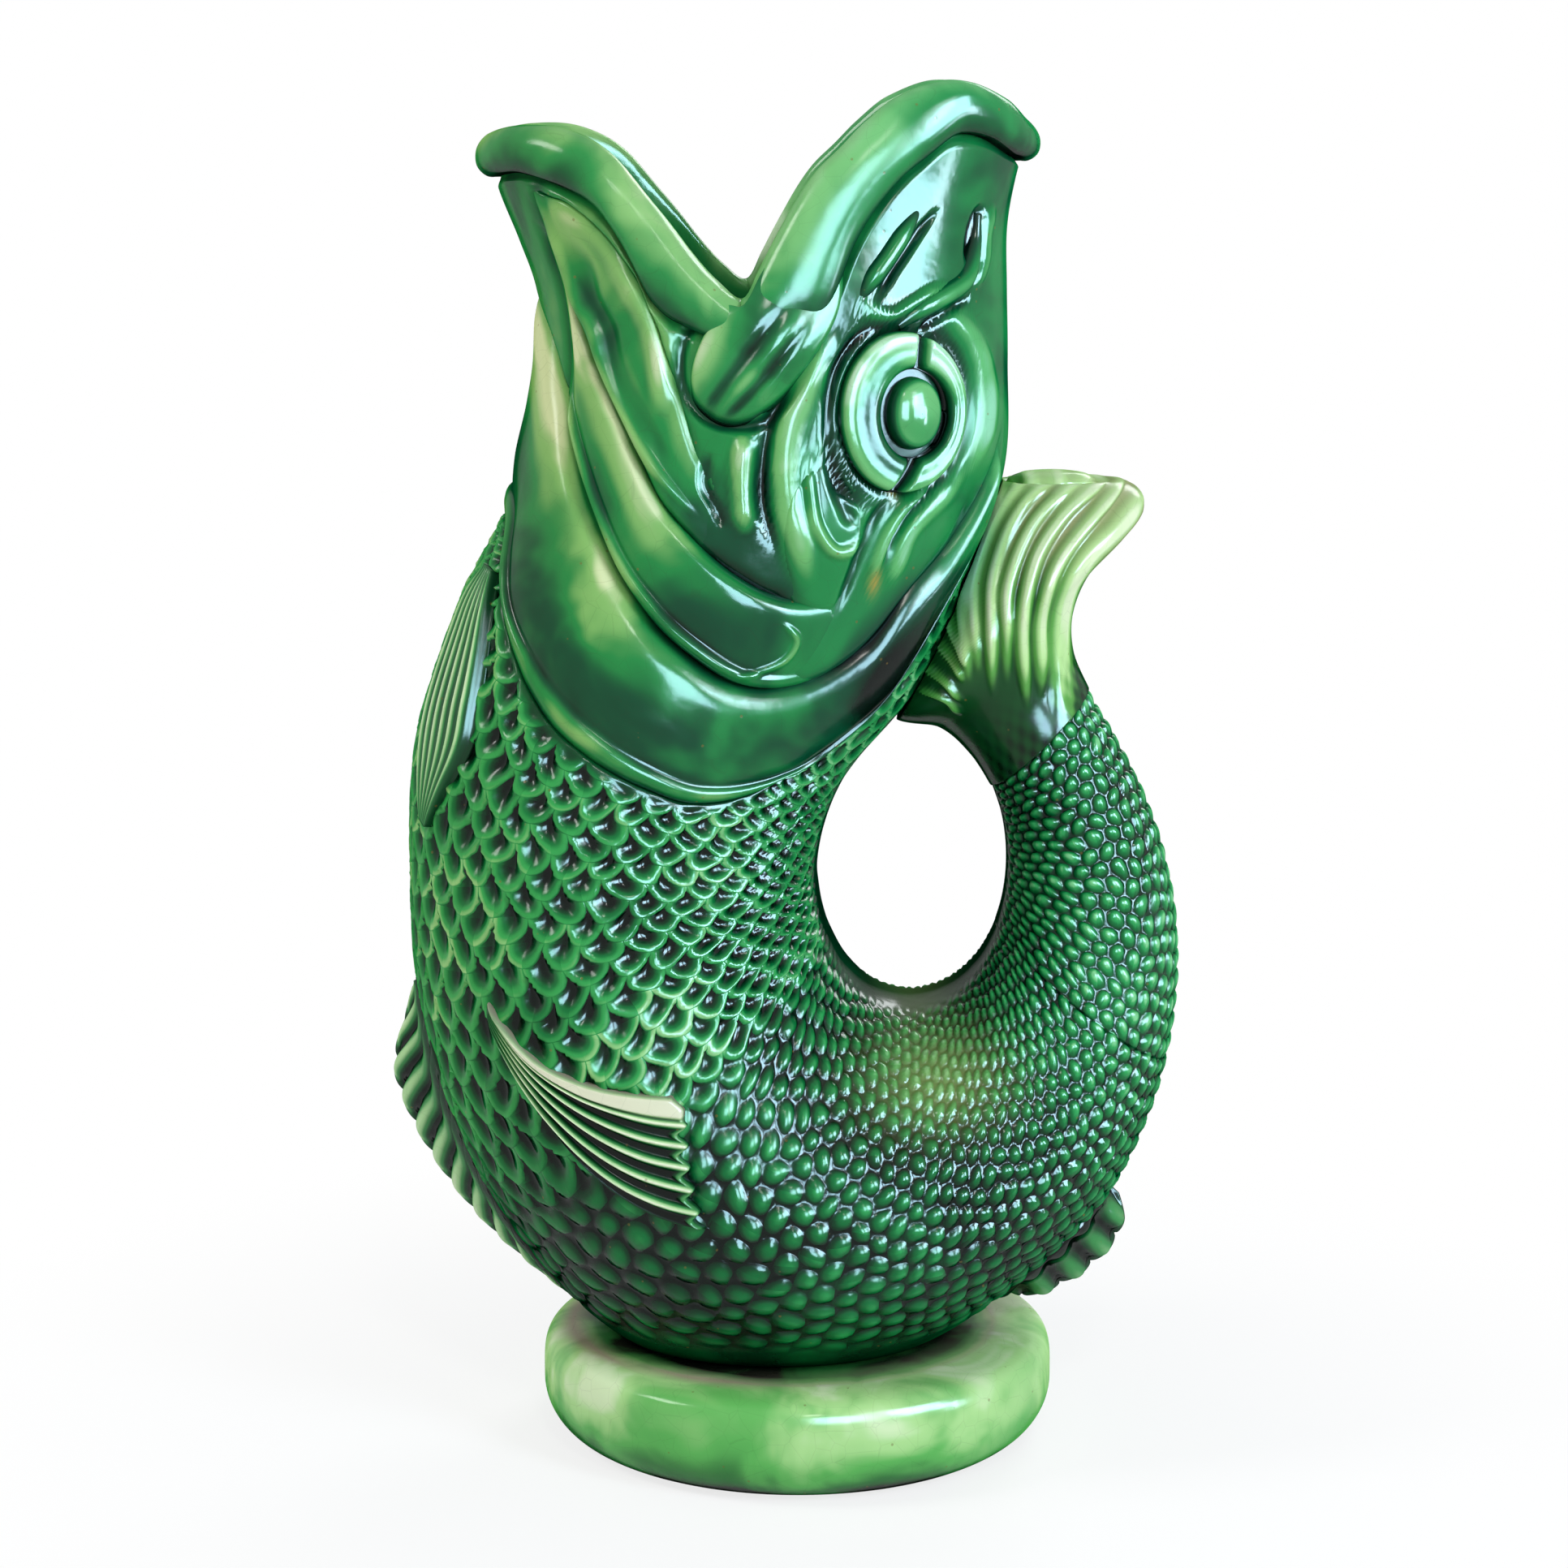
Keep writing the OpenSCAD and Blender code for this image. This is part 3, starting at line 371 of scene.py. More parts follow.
def fold_relief(x, z, strokes=folds):
    """Height of pressed folds or ribs over the skin, at places in the side view."""
    shape = np.shape(x)
    spots = np.stack([np.ravel(x), np.ravel(z)], -1) / MM
    height = np.zeros(len(spots))
    for half, rise, points in strokes:
        route = curve(points, 6)
        a, b = route[:-1], route[1:]
        low, high = route.min(0) - half, route.max(0) + half
        near = np.flatnonzero(np.all((spots > low) & (spots < high), axis=1))
        if not len(near):
            continue
        p = spots[near, None]
        run = b - a
        f = np.clip(np.sum((p - a) * run, -1) / np.sum(run * run, -1), 0, 1)
        away = np.linalg.norm(p - a - f[..., None] * run, axis=-1)
        best = away.argmin(1)
        share = (best + f[np.arange(len(near)), best]) / len(a)
        taper = eased(share, -0.02, 0.2) * eased(1 - share, -0.02, 0.25)
        reach = half * (0.55 + 0.45 * taper)
        height[near] += rise * taper * (1 - np.clip(away.min(1) / reach, 0, 1) ** 2) ** 2
    return (height * MM).reshape(shape)


map_low = (-52 * MM, 120 * MM)
map_step = 0.5 * MM
map_x, map_z = np.meshgrid(map_low[0] + map_step * np.arange(200),
                           map_low[1] + map_step * np.arange(250))


def sample(grid, x, z):
    """Value of a map of the side view at places in it."""
    i = np.clip((x - map_low[0]) / map_step, 0, grid.shape[1] - 1.001)
    j = np.clip((z - map_low[1]) / map_step, 0, grid.shape[0] - 1.001)
    a, b = i.astype(int), j.astype(int)
    f, g = i - a, j - b
    low = mix(grid[b, a], grid[b, a + 1], f)
    high = mix(grid[b + 1, a], grid[b + 1, a + 1], f)
    return mix(low, high, g)


def smoothed(grid, rows, columns, wrap=False):
    """The grid with each value averaged with those round it."""
    for _ in range(2):
        for axis, reach in ((0, rows), (1, columns)):
            pad = [(0, 0), (0, 0)]
            pad[axis] = (reach + 1, reach)
            ends = "wrap" if axis == 1 and wrap else "edge"
            total = np.cumsum(np.pad(grid, pad, mode=ends), axis=axis)
            n = grid.shape[axis]
            upper = np.take(total, np.arange(n) + 2 * reach + 1, axis=axis)
            lower = np.take(total, np.arange(n), axis=axis)
            grid = (upper - lower) / (2 * reach + 1)
    return grid


def thinness(height, rows, columns, wrap=False, span=1.2 * MM, level=0.4):
    """Where glaze runs thin: high on a crest, 0 in a hollow, from heights on a grid."""
    rise = np.tanh((height - smoothed(height, rows, columns, wrap)) / span)
    return np.where(rise > 0, level + (0.88 - level) * rise, level * (1 + rise))


def grid_faces(rows, columns, wrap, start=0, flip=False):
    last = columns if wrap else columns - 1
    i, j = np.meshgrid(np.arange(rows - 1), np.arange(last), indexing="ij")
    k = (j + 1) % columns
    i, j, k = i.ravel() * columns, j.ravel(), k.ravel()
    quads = start + np.stack([i + j, i + k, i + columns + k, i + columns + j], -1)
    return quads[:, ::-1] if flip else quads


def strip_faces(a, b, wrap):
    """Quads between two rows of point numbers."""
    if wrap:
        a, b = np.append(a, a[0]), np.append(b, b[0])
    return np.stack([a[:-1], b[:-1], b[1:], a[1:]], -1)


def fan_faces(centre, ring, flip=False):
    fan = np.stack([np.full(len(ring), centre), ring, np.roll(ring, -1)], -1)
    return fan[:, ::-1] if flip else fan


def make_piece(name, points, quads, triangles=(), **values):
    """A closed mesh with its faces turned outwards, and values kept at its points."""
    points = np.asarray(points, float).reshape(-1, 3)
    quads = np.asarray(quads).reshape(-1, 4)
    triangles = np.asarray(triangles, int).reshape(-1, 3)
    halves = np.concatenate([quads[:, [0, 1, 2]], quads[:, [0, 2, 3]], triangles])
    a, b, c = points[halves[:, 0]], points[halves[:, 1]], points[halves[:, 2]]
    if np.einsum("ij,ij->", a, np.cross(b, c)) < 0:
        quads, triangles = quads[:, ::-1], triangles[:, ::-1]
    mesh = bpy.data.meshes.new(name)
    mesh.from_pydata(points.tolist(), [], quads.tolist() + triangles.tolist())
    for key, value in values.items():
        kind = "FLOAT_VECTOR" if np.ndim(value) == 2 else "FLOAT"
        data = mesh.attributes.new(key, kind, "POINT").data
        data.foreach_set("vector" if kind == "FLOAT_VECTOR" else "value", np.ravel(value))
    mesh.shade_smooth()
    piece = bpy.data.objects.new(name, mesh)
    bpy.context.collection.objects.link(piece)
    return piece


def spread(value, shape, extra, fill):
    """Values of a grid followed by a fill for the points after it."""
    value = np.broadcast_to(value, shape)
    tail = value.shape[2:]
    flat = value.reshape((-1,) + tail)
    return np.concatenate([flat, np.full((extra,) + tail, fill, float)])


def kept_values(values, shape, extra, fills):
    """All values of a grid, each followed by its own fill for the points after it."""
    fills = fills or {}
    return {k: spread(v, shape + np.shape(v)[2:], extra, fills.get(k, 0))
            for k, v in values.items()}


def shell_piece(name, outer, inner, closed_start=False, fills=None, **values):
    """Hollow wall between an outer and an inner grid whose columns come round."""
    rows, columns = outer.shape[:2]
    inner_rows, inner_columns = inner.shape[:2]
    start = rows * columns
    points = np.concatenate([outer.reshape(-1, 3), inner.reshape(-1, 3)])
    quads = [grid_faces(rows, columns, True),
             grid_faces(inner_rows, inner_columns, True, start, True)]
    step = columns // inner_columns
    fans = []
    ends = [(rows - 1, inner_rows - 1, False)] + ([] if closed_start else [(0, 0, True)])
    for row, inner_row, flip in ends:
        outside = row * columns + np.arange(columns)
        inside = start + inner_row * inner_columns + np.arange(inner_columns)
        for j in range(inner_columns):
            pair = [inside[j], inside[(j + 1) % inner_columns]]
            for k in range(step):
                a = outside[j * step + k]
                b = outside[(j * step + k + 1) % columns]
                fans.append([a, b, pair[0]][::-1 if flip else 1])
            fans.append([pair[0], outside[((j + 1) * step) % columns], pair[1]][::-1 if flip else 1])
    extra = inner_rows * inner_columns
    if closed_start:
        caps = len(points)
        points = np.concatenate([points, [outer[0].mean(0)], [inner[0].mean(0)]])
        fans += fan_faces(caps, np.arange(columns), True).tolist()
        fans += fan_faces(caps + 1, start + np.arange(inner_columns)).tolist()
        extra += 2
    kept = kept_values(values, (rows, columns), extra, fills)
    return make_piece(name, points, np.concatenate(quads), fans, **kept)


def patch_piece(name, outer, under, fills=None, **values):
    """Applied piece between an outer and an under grid of the same size."""
    rows, columns = outer.shape[:2]
    start = rows * columns
    points = np.concatenate([outer.reshape(-1, 3), under.reshape(-1, 3)])
    rim = np.concatenate([
        np.arange(columns - 1), np.arange(rows - 1) * columns + columns - 1,
        (rows - 1) * columns + np.arange(columns - 1, 0, -1),
        np.arange(rows - 1, 0, -1) * columns])
    quads = np.concatenate([
        grid_faces(rows, columns, False), grid_faces(rows, columns, False, start, True),
        strip_faces(rim, rim + start, True)])
    return make_piece(name, points, quads, **kept_values(values, (rows, columns), start, fills))


def ring_piece(name, loops, fills=None, **values):
    """Closed piece through a row of rings, with a point at each end."""
    rows, columns = loops.shape[:2]
    caps = rows * columns
    points = np.concatenate([loops.reshape(-1, 3), [loops[0].mean(0)], [loops[-1].mean(0)]])
    fans = np.concatenate([
        fan_faces(caps, np.arange(columns), True),
        fan_faces(caps + 1, (rows - 1) * columns + np.arange(columns))])
    kept = kept_values(values, (rows, columns), 2, fills)
    return make_piece(name, points, grid_faces(rows, columns, True), fans, **kept)


def glazed(piece, material):
    piece.data.materials.append(material)
    return piece


def both_sides(points, side):
    """Points of the camera's side, or the same on the other side."""
    return points * np.array([1, 1 if side == "left" else -1, 1])


def add(tree, kind, wires=None, **settings):
    """A node with its settings, its plain values and its wires."""
    node = tree.nodes.new(kind)
    for key, value in settings.items():
        setattr(node, key, value)
    for key, value in (wires or {}).items():
        if isinstance(value, bpy.types.NodeSocket):
            tree.links.new(value, node.inputs[key])
        else:
            node.inputs[key].default_value = value
    return node


def calc(tree, operation, *values, clamp=False):
    wires = dict(enumerate(values))
    return add(tree, "ShaderNodeMath", wires, operation=operation, use_clamp=clamp).outputs[0]


def ease(tree, value, low, high, start=0.0, end=1.0):
    """A smooth step from start to end while the value goes from low to high."""
    wires = {0: value, 1: low, 2: high, 3: start, 4: end}
    return add(tree, "ShaderNodeMapRange", wires, interpolation_type="SMOOTHSTEP").outputs[0]


def blend(tree, share, a, b):
    return add(tree, "ShaderNodeMix", {0: share, 2: a, 3: b}).outputs[0]


def tint(tree, share, a, b, mode="MIX"):
    wires = {0: share, 6: a, 7: b}
    return add(tree, "ShaderNodeMix", wires, data_type="RGBA", blend_type=mode).outputs[2]


def scale_pattern(tree, across, lengthwise, cup):
    """Height from 0 to 1 of staggered scales whose free ends face the tail.

    The coordinates count scales across the fish and rows along it. A scale is a
    full pebble where cup is 0, and a hollow cup with a raised rim where it is 1.
    """
    row = calc(tree, "FLOOR", lengthwise)
    f = calc(tree, "SUBTRACT", lengthwise, row)
    heights, across_from_tip, along_from_tip = [], [], []
    for upper in (True, False):
        count = calc(tree, "ADD", row, 1.0 if upper else 0.0)
        shift = calc(tree, "MULTIPLY", calc(tree, "FLOORED_MODULO", count, 2.0), 0.5)
        place_across = calc(tree, "FRACT", calc(tree, "ADD", across, shift))
        p = calc(tree, "ABSOLUTE", calc(tree, "MULTIPLY_ADD", place_across, 2.0, -1.0))
        q = calc(tree, "SUBTRACT", 1.0, f) if upper else calc(tree, "MULTIPLY", f, -1.0)
        side = calc(tree, "POWER", calc(tree, "DIVIDE", p, 0.92), 2.0)
        end = calc(tree, "POWER", calc(tree, "DIVIDE", calc(tree, "SUBTRACT", q, 0.5), 0.6), 2.0)
        room = calc(tree, "SUBTRACT", 1.0, calc(tree, "ADD", side, end), clamp=True)
        dome = calc(tree, "POWER", room, 0.8)
        lean = calc(tree, "MULTIPLY_ADD", q, 0.6, 0.46)
        heights.append(calc(tree, "MULTIPLY", dome, lean))
        across_from_tip.append(p)
        along_from_tip.append(q)
    pebble = calc(tree, "MAXIMUM", heights[0], heights[1])
    squares = [calc(tree, "POWER", v, 2.0) for v in (across_from_tip[0], along_from_tip[0])]
    r = calc(tree, "SQRT", calc(tree, "ADD", squares[0], squares[1]))
    inside = calc(tree, "LESS_THAN", r, 1.03)
    reach = blend(tree, inside, across_from_tip[1], r)
    rise = ease(tree, reach, 0.04, 0.94)
    roll = ease(tree, reach, 0.94, 1.06, 1.0, 0.66)
    hollow = calc(tree, "MULTIPLY", rise, roll)
    return blend(tree, cup, pebble, hollow)


def kept_value(tree, name, kind="FLOAT"):
    node = add(tree, "GeometryNodeInputNamedAttribute", {"Name": name}, data_type=kind)
    return node.outputs[0]


def relief_tree(name, sizes):
    """Start of a tree that pushes a piece's surface in and out."""
    tree = bpy.data.node_groups.new(name, "GeometryNodeTree")
    tree.is_modifier = True
    face = tree.interface
    face.new_socket("Geometry", in_out="INPUT", socket_type="NodeSocketGeometry")
    for label, value in sizes:
        socket = face.new_socket(label, in_out="INPUT", socket_type="NodeSocketFloat")
        socket.default_value = value
    face.new_socket("Glaze", in_out="INPUT", socket_type="NodeSocketMaterial")
    face.new_socket("Geometry", in_out="OUTPUT", socket_type="NodeSocketGeometry")
    return tree, add(tree, "NodeGroupInput").outputs


def finish_relief(tree, given, rise, thin):
    """Rest of such a tree: the push along the kept outward direction, and the glaze."""
    push = add(tree, "ShaderNodeVectorMath", {0: kept_value(tree, "outward", "FLOAT_VECTOR")},
               operation="SCALE")
    tree.links.new(rise, push.inputs["Scale"])
    moved = add(tree, "GeometryNodeSetPosition",
                {"Geometry": given["Geometry"], "Offset": push.outputs[0]})
    kept = add(tree, "GeometryNodeStoreNamedAttribute",
               {"Geometry": moved.outputs[0], "Name": "thin", "Value": thin},
               data_type="FLOAT", domain="POINT")
    real = add(tree, "GeometryNodeRealizeInstances", {0: kept.outputs[0]})
    coated = add(tree, "GeometryNodeSetMaterial",
                 {"Geometry": real.outputs[0], "Material": given["Glaze"]})
    out = add(tree, "NodeGroupOutput")
    tree.links.new(coated.outputs[0], out.inputs[0])
    return tree


def scale_tree():
    """Scales: staggered cups and pebbles pressed in the skin, fading to smooth bands."""
    tree, given = relief_tree("scales pressed in the skin", [
        ("Cup depth", 1.3 * MM), ("Pebble depth", 1.0 * MM), ("Smooth level", 0.6)])
    cup = kept_value(tree, "cup")
    scaly = kept_value(tree, "scaly")
    height = scale_pattern(tree, kept_value(tree, "across"), kept_value(tree, "lengthwise"), cup)
    level = blend(tree, scaly, given["Smooth level"], height)
    depth = blend(tree, cup, given["Pebble depth"], given["Cup depth"])
    rise = calc(tree, "MULTIPLY", calc(tree, "SUBTRACT", level, 1.0), depth)
    return finish_relief(tree, given, rise, level)


def rib_tree():
    """Ribs: rounded crests at each whole number, with wider troughs between them."""
    tree, given = relief_tree("ribs pressed in a fin", [
        ("Rib height", 0.9 * MM), ("Crest sharpness", 1.5)])
    turn = calc(tree, "MULTIPLY", kept_value(tree, "rib"), math.tau)
    wave = calc(tree, "MULTIPLY_ADD", calc(tree, "COSINE", turn), 0.5, 0.5)
    crest = calc(tree, "POWER", wave, given["Crest sharpness"])
    crest = calc(tree, "MAXIMUM", crest, kept_value(tree, "plain"))
    rise = calc(tree, "MULTIPLY", calc(tree, "SUBTRACT", crest, 1.0), given["Rib height"])
    rise = calc(tree, "MULTIPLY", rise, kept_value(tree, "reach"))
    faded = blend(tree, kept_value(tree, "reach"), 0.35, crest)
    thin = calc(tree, "MULTIPLY", faded, kept_value(tree, "runs"))
    return finish_relief(tree, given, rise, thin)


def press(piece, tree, sizes):
    """Runs a relief tree on a piece and keeps the result as its plain mesh."""
    modifier = piece.modifiers.new("relief", "NODES")
    modifier.node_group = tree
    for item in tree.interface.items_tree:
        if item.item_type == "SOCKET" and item.in_out == "INPUT" and item.name in sizes:
            modifier[item.identifier] = sizes[item.name]
    graph = bpy.context.evaluated_depsgraph_get()
    mesh = bpy.data.meshes.new_from_object(
        piece.evaluated_get(graph), preserve_all_data_layers=True, depsgraph=graph)
    piece.modifiers.clear()
    piece.data = mesh
    mesh.shade_smooth()


def group(name, inputs, outputs):
    tree = bpy.data.node_groups.new(name, "ShaderNodeTree")
    for label, kind, value in inputs:
        socket = tree.interface.new_socket(label, in_out="INPUT", socket_type=kind)
        socket.default_value = value
    for label, kind in outputs:
        tree.interface.new_socket(label, in_out="OUTPUT", socket_type=kind)
    return tree, add(tree, "NodeGroupInput").outputs, add(tree, "NodeGroupOutput").inputs


COLOUR, NUMBER, VECTOR = "NodeSocketColor", "NodeSocketFloat", "NodeSocketVector"


def pooling_group():
    """Colour of a coloured glaze that runs thin on crests and pools in hollows."""
    tree, given, out = group("glaze pooling", [
        ("Place", VECTOR, (0, 0, 0)), ("Thin", NUMBER, 0.5), ("Pooled", COLOUR, (0, 0, 0, 1)),
        ("Deep", COLOUR, (0, 0, 0, 1)), ("Body", COLOUR, (0, 0, 0, 1)),
        ("Pale", COLOUR, (0, 0, 0, 1)), ("Bare", COLOUR, (0, 0, 0, 1)),
        ("Run size", NUMBER, 40.0), ("Run strength", NUMBER, 0.25)],
        [("Color", COLOUR), ("Roughness", NUMBER)])
    runs = add(tree, "ShaderNodeTexNoise", {
        "Vector": given["Place"], "Scale": given["Run size"], "Detail": 3.0,
        "Roughness": 0.55, "Distortion": 0.6}).outputs[0]
    clouds = ease(tree, runs, 0.32, 0.68, -0.5, 0.5)
    swing = calc(tree, "MULTIPLY", clouds, given["Run strength"])
    thin = calc(tree, "ADD", given["Thin"], swing, clamp=True)
    colour = tint(tree, ease(tree, thin, 0.02, 0.28), given["Pooled"], given["Deep"])
    colour = tint(tree, ease(tree, thin, 0.25, 0.58), colour, given["Body"])
    colour = tint(tree, ease(tree, thin, 0.55, 0.86), colour, given["Pale"])
    colour = tint(tree, ease(tree, thin, 0.84, 1.05), colour, given["Bare"])
    tree.links.new(colour, out["Color"])
    tree.links.new(ease(tree, runs, 0.3, 0.7, 0.12, 0.26), out["Roughness"])
    return tree


def surface_group():
    """Fine skin of a fired glaze: orange peel, pinholes, specks and faint crazing."""
    tree, given, out = group("fired glaze surface", [
        ("Place", VECTOR, (0, 0, 0)), ("Peel size", NUMBER, 320.0), ("Speck size", NUMBER, 900.0),
        ("Craze size", NUMBER, 260.0), ("Specks", NUMBER, 0.5)],
        [("Height", NUMBER), ("Speck", NUMBER), ("Craze", NUMBER)])
    peel = add(tree, "ShaderNodeTexNoise", {
        "Vector": given["Place"], "Scale": given["Peel size"], "Detail": 2.0}).outputs[0]
    cells = add(tree, "ShaderNodeTexVoronoi", {
        "Vector": given["Place"], "Scale": given["Speck size"]})
    chance = add(tree, "ShaderNodeSeparateColor", {0: cells.outputs["Color"]}).outputs[0]
    dot = ease(tree, cells.outputs["Distance"], 0.16, 0.3, 1.0, 0.0)
    rare = calc(tree, "GREATER_THAN", chance, 0.985)
    speck = calc(tree, "MULTIPLY", calc(tree, "MULTIPLY", dot, rare), given["Specks"])
    edge = add(tree, "ShaderNodeTexVoronoi", {
        "Vector": given["Place"], "Scale": given["Craze size"]}, feature="DISTANCE_TO_EDGE")
    craze = ease(tree, edge.outputs["Distance"], 0.0, 0.02, 1.0, 0.0)
    pits = calc(tree, "MULTIPLY", speck, -0.4)
    tree.links.new(calc(tree, "ADD", peel, pits), out["Height"])
    tree.links.new(speck, out["Speck"])
    tree.links.new(craze, out["Craze"])
    return tree


def scale_group():
    """The same scales as those pressed in the skin, at full fineness."""
    tree, given, out = group("scales, fine", [
        ("Across", NUMBER, 0.0), ("Lengthwise", NUMBER, 0.0), ("Cup", NUMBER, 0.0)],
        [("Height", NUMBER), ("Chance", NUMBER)])
    height = scale_pattern(tree, given["Across"], given["Lengthwise"], given["Cup"])
    tree.links.new(height, out["Height"])
    row = calc(tree, "FLOOR", given["Lengthwise"])
    shift = calc(tree, "MULTIPLY", calc(tree, "FLOORED_MODULO", row, 2.0), 0.5)
    column = calc(tree, "FLOOR", calc(tree, "ADD", given["Across"], shift))
    cell = add(tree, "ShaderNodeCombineXYZ", {0: column, 1: row}).outputs[0]
    chance = add(tree, "ShaderNodeTexWhiteNoise", {"Vector": cell}, noise_dimensions="2D")
    tree.links.new(chance.outputs["Value"], out["Chance"])
    return tree


def srgb(text):
    """Linear colour of a hex code."""
    parts = [int(text[i:i + 2], 16) / 255 for i in (0, 2, 4)]
    return tuple(c / 12.92 if c <= 0.04045 else ((c + 0.055) / 1.055) ** 2.4 for c in parts) + (1,)


def attribute(tree, name):
    return add(tree, "ShaderNodeAttribute", attribute_name=name).outputs["Fac"]


def use(tree, shared, wires):
    return add(tree, "ShaderNodeGroup", wires, node_tree=shared).outputs


def glaze(name, codes, run_size, run_strength, painted_bluish_cast, warm=0.0, worn="a8a27a", scales=False):
    """One glaze: its five colours from pooled to bare, how it runs, and its worn colour."""
    colours = [srgb(code) for code in codes.split()]
    material = bpy.data.materials.new(name)
    material.use_nodes = True
    tree = material.node_tree
    tree.nodes.clear()
    place_out = add(tree, "ShaderNodeTexCoord").outputs["Object"]
    spot = add(tree, "ShaderNodeSeparateXYZ", {0: place_out}).outputs
    thin = attribute(tree, "thin")
    fine = None
    if scales:
        fine = use(tree, fine_scales, {
            "Across": attribute(tree, "across"), "Lengthwise": attribute(tree, "lengthwise"),
            "Cup": attribute(tree, "cup")})
        scaly = attribute(tree, "scaly")
        chance = calc(tree, "MULTIPLY", calc(tree, "SUBTRACT", fine["Chance"], 0.5), 0.16)
        level = calc(tree, "POWER", fine["Height"], blend(tree, attribute(tree, "cup"), 0.95, 1.15))
        shade = calc(tree, "MULTIPLY", ease(tree, spot[2], 0.02, 0.08, 0.66, 0.9),
                     ease(tree, spot[0], -0.012, -0.05, 1.0, 0.9))
        level = calc(tree, "ADD", calc(tree, "MULTIPLY", level, shade), chance)
        level = calc(tree, "ADD", level, ease(tree, spot[0], 0.03, 0.06, 0.0, 0.24))
        level = calc(tree, "MULTIPLY_ADD", attribute(tree, "tan"), 0.6, level)
        thin = blend(tree, scaly, attribute(tree, "smooth_thin"), level)
    pool = use(tree, pooling, {
        "Place": place_out, "Thin": thin, "Pooled": colours[0], "Deep": colours[1],
        "Body": colours[2], "Pale": colours[3], "Bare": colours[4],
        "Run size": run_size, "Run strength": run_strength})
    skin_out = use(tree, fired_surface, {"Place": place_out, "Specks": 0.5})
    back = ease(tree, spot[0], -0.035, 0.035)
    front = ease(tree, spot[0], -0.012, -0.06)
    colour = tint(tree, calc(tree, "MULTIPLY", front, warm), pool["Color"],
                  (1.0, 0.86, 0.42, 1), "MULTIPLY")
    # Painted reflection and shade: a bluish teal cast over the back of the jug, on the side towards the
    # loop.
    colour = tint(tree, calc(tree, "MULTIPLY", back, painted_bluish_cast), colour,
                  (0.3, 0.93, 1.0, 1), "MULTIPLY")
    # Painted teal shade where a piece keeps it, as the tail fin does along its edge by the nape.
    colour = tint(tree, attribute(tree, "teal"), colour, (0.25, 0.9, 1.0, 1), "MULTIPLY")
    colour = tint(tree, attribute(tree, "tan"), colour, srgb(worn))
    colour = tint(tree, skin_out["Speck"], colour, (0.16, 0.10, 0.02, 1))
    craze = calc(tree, "MULTIPLY", skin_out["Craze"], 0.12)
    colour = tint(tree, craze, colour, (0.02, 0.03, 0.015, 1))
    height = calc(tree, "MULTIPLY", skin_out["Height"], 0.06 * MM)
    if fine:
        raised = calc(tree, "MULTIPLY", fine["Height"], scaly)
        height = calc(tree, "MULTIPLY_ADD", raised, 0.25 * MM, height)
    bump = add(tree, "ShaderNodeBump", {"Strength": 1.0, "Distance": 1.0, "Height": height})
    edge_on = add(tree, "ShaderNodeLayerWeight", {"Blend": 0.5}).outputs["Facing"]
    gloss = ease(tree, edge_on, 0.3, 0.8, 0.2, 0.0)
    shader = add(tree, "ShaderNodeBsdfPrincipled", {
        "Base Color": colour, "Roughness": pool["Roughness"], "Normal": bump.outputs[0],
        "Specular IOR Level": gloss})
    add(tree, "ShaderNodeOutputMaterial", {"Surface": shader.outputs[0]})
    return material


pooling = pooling_group()
fired_surface = surface_group()
fine_scales = scale_group()
scales_in_skin = scale_tree()
ribs_in_fin = rib_tree()

scale_glaze = glaze("emerald glaze over scales", "020f08 01371c 066a33 329a50 98cc8a",
                    26, 0.24, painted_bluish_cast=0.5, warm=0.4, worn="93a860", scales=True)
head_glaze = glaze("emerald glaze over the head", "030d08 06452a 1f7f3e 7cae64 cfd8ae",
                   30, 0.4, painted_bluish_cast=0.8, warm=0.45, worn="b8913c")
lip_glaze = glaze("green glaze over the lips", "030d08 0a4a2a 2a8644 85b870 d6deb6",
                  34, 0.34, painted_bluish_cast=0.6, warm=0.3)
fin_glaze = glaze("pale glaze over the fins", "030d07 0a3f20 3d8a4a a8cf94 e6e9cc",
                  26, 0.14, painted_bluish_cast=0.12, worn="d2c3ae")
fluke_glaze = glaze("olive glaze over the tail fin", "031208 0c441c 579a44 b2d890 e6eccb",
                    24, 0.14, painted_bluish_cast=0.0)
foot_glaze = glaze("grass green glaze over the foot", "161c14 2a7034 5aac54 a8d48a e8efcf",
                   44, 0.36, painted_bluish_cast=0.0, worn="9a8478")

# Scales: width across and step along the fish in millimetres, by ring
scale_width = [[0, 3.4], [3, 3.8], [5.5, 3.8], [7, 3.7], [9, 4.2], [10, 4.9], [11, 5.7],
               [12, 6.7], [13, 7.5], [15, 7.2], [17, 6.4], [21, 5.6]]
scale_step = [[0, 2.3], [3, 2.9], [5.5, 2.9], [7, 3.0], [9, 3.6], [10, 4.1], [11, 4.6],
              [12.5, 4.5], [14, 3.9], [16, 3.5], [18, 3.0], [21, 2.8]]
table_ring_step = 0.1
table_turn_step = 2.0
table_rings = np.arange(0, 22.01, table_ring_step)
table_turns = np.arange(0, 181, table_turn_step)


def scale_tables():
    """Counts of scales across and along the fish, at each ring and turn of a table."""
    s, t = np.meshgrid(table_rings, table_turns, indexing="ij")
    points = skin(s, t)
    arcs = np.cumsum(np.linalg.norm(np.diff(points, axis=1), axis=-1), axis=1)
    arcs = np.concatenate([np.zeros((len(table_rings), 1)), arcs], axis=1)
    middle = arcs[:, [len(table_turns) // 2]]
    width = glide(table_rings, scale_width)[:, None] * MM
    side = skin(table_rings, 95.0)
    steps = np.linalg.norm(np.diff(side, axis=0), axis=-1)
    pitch = glide(table_rings[1:], scale_step) * MM
    counts = np.concatenate([[0], np.cumsum(steps / pitch)])
    return (arcs - middle) / width, counts


across_table, along_table = scale_tables()


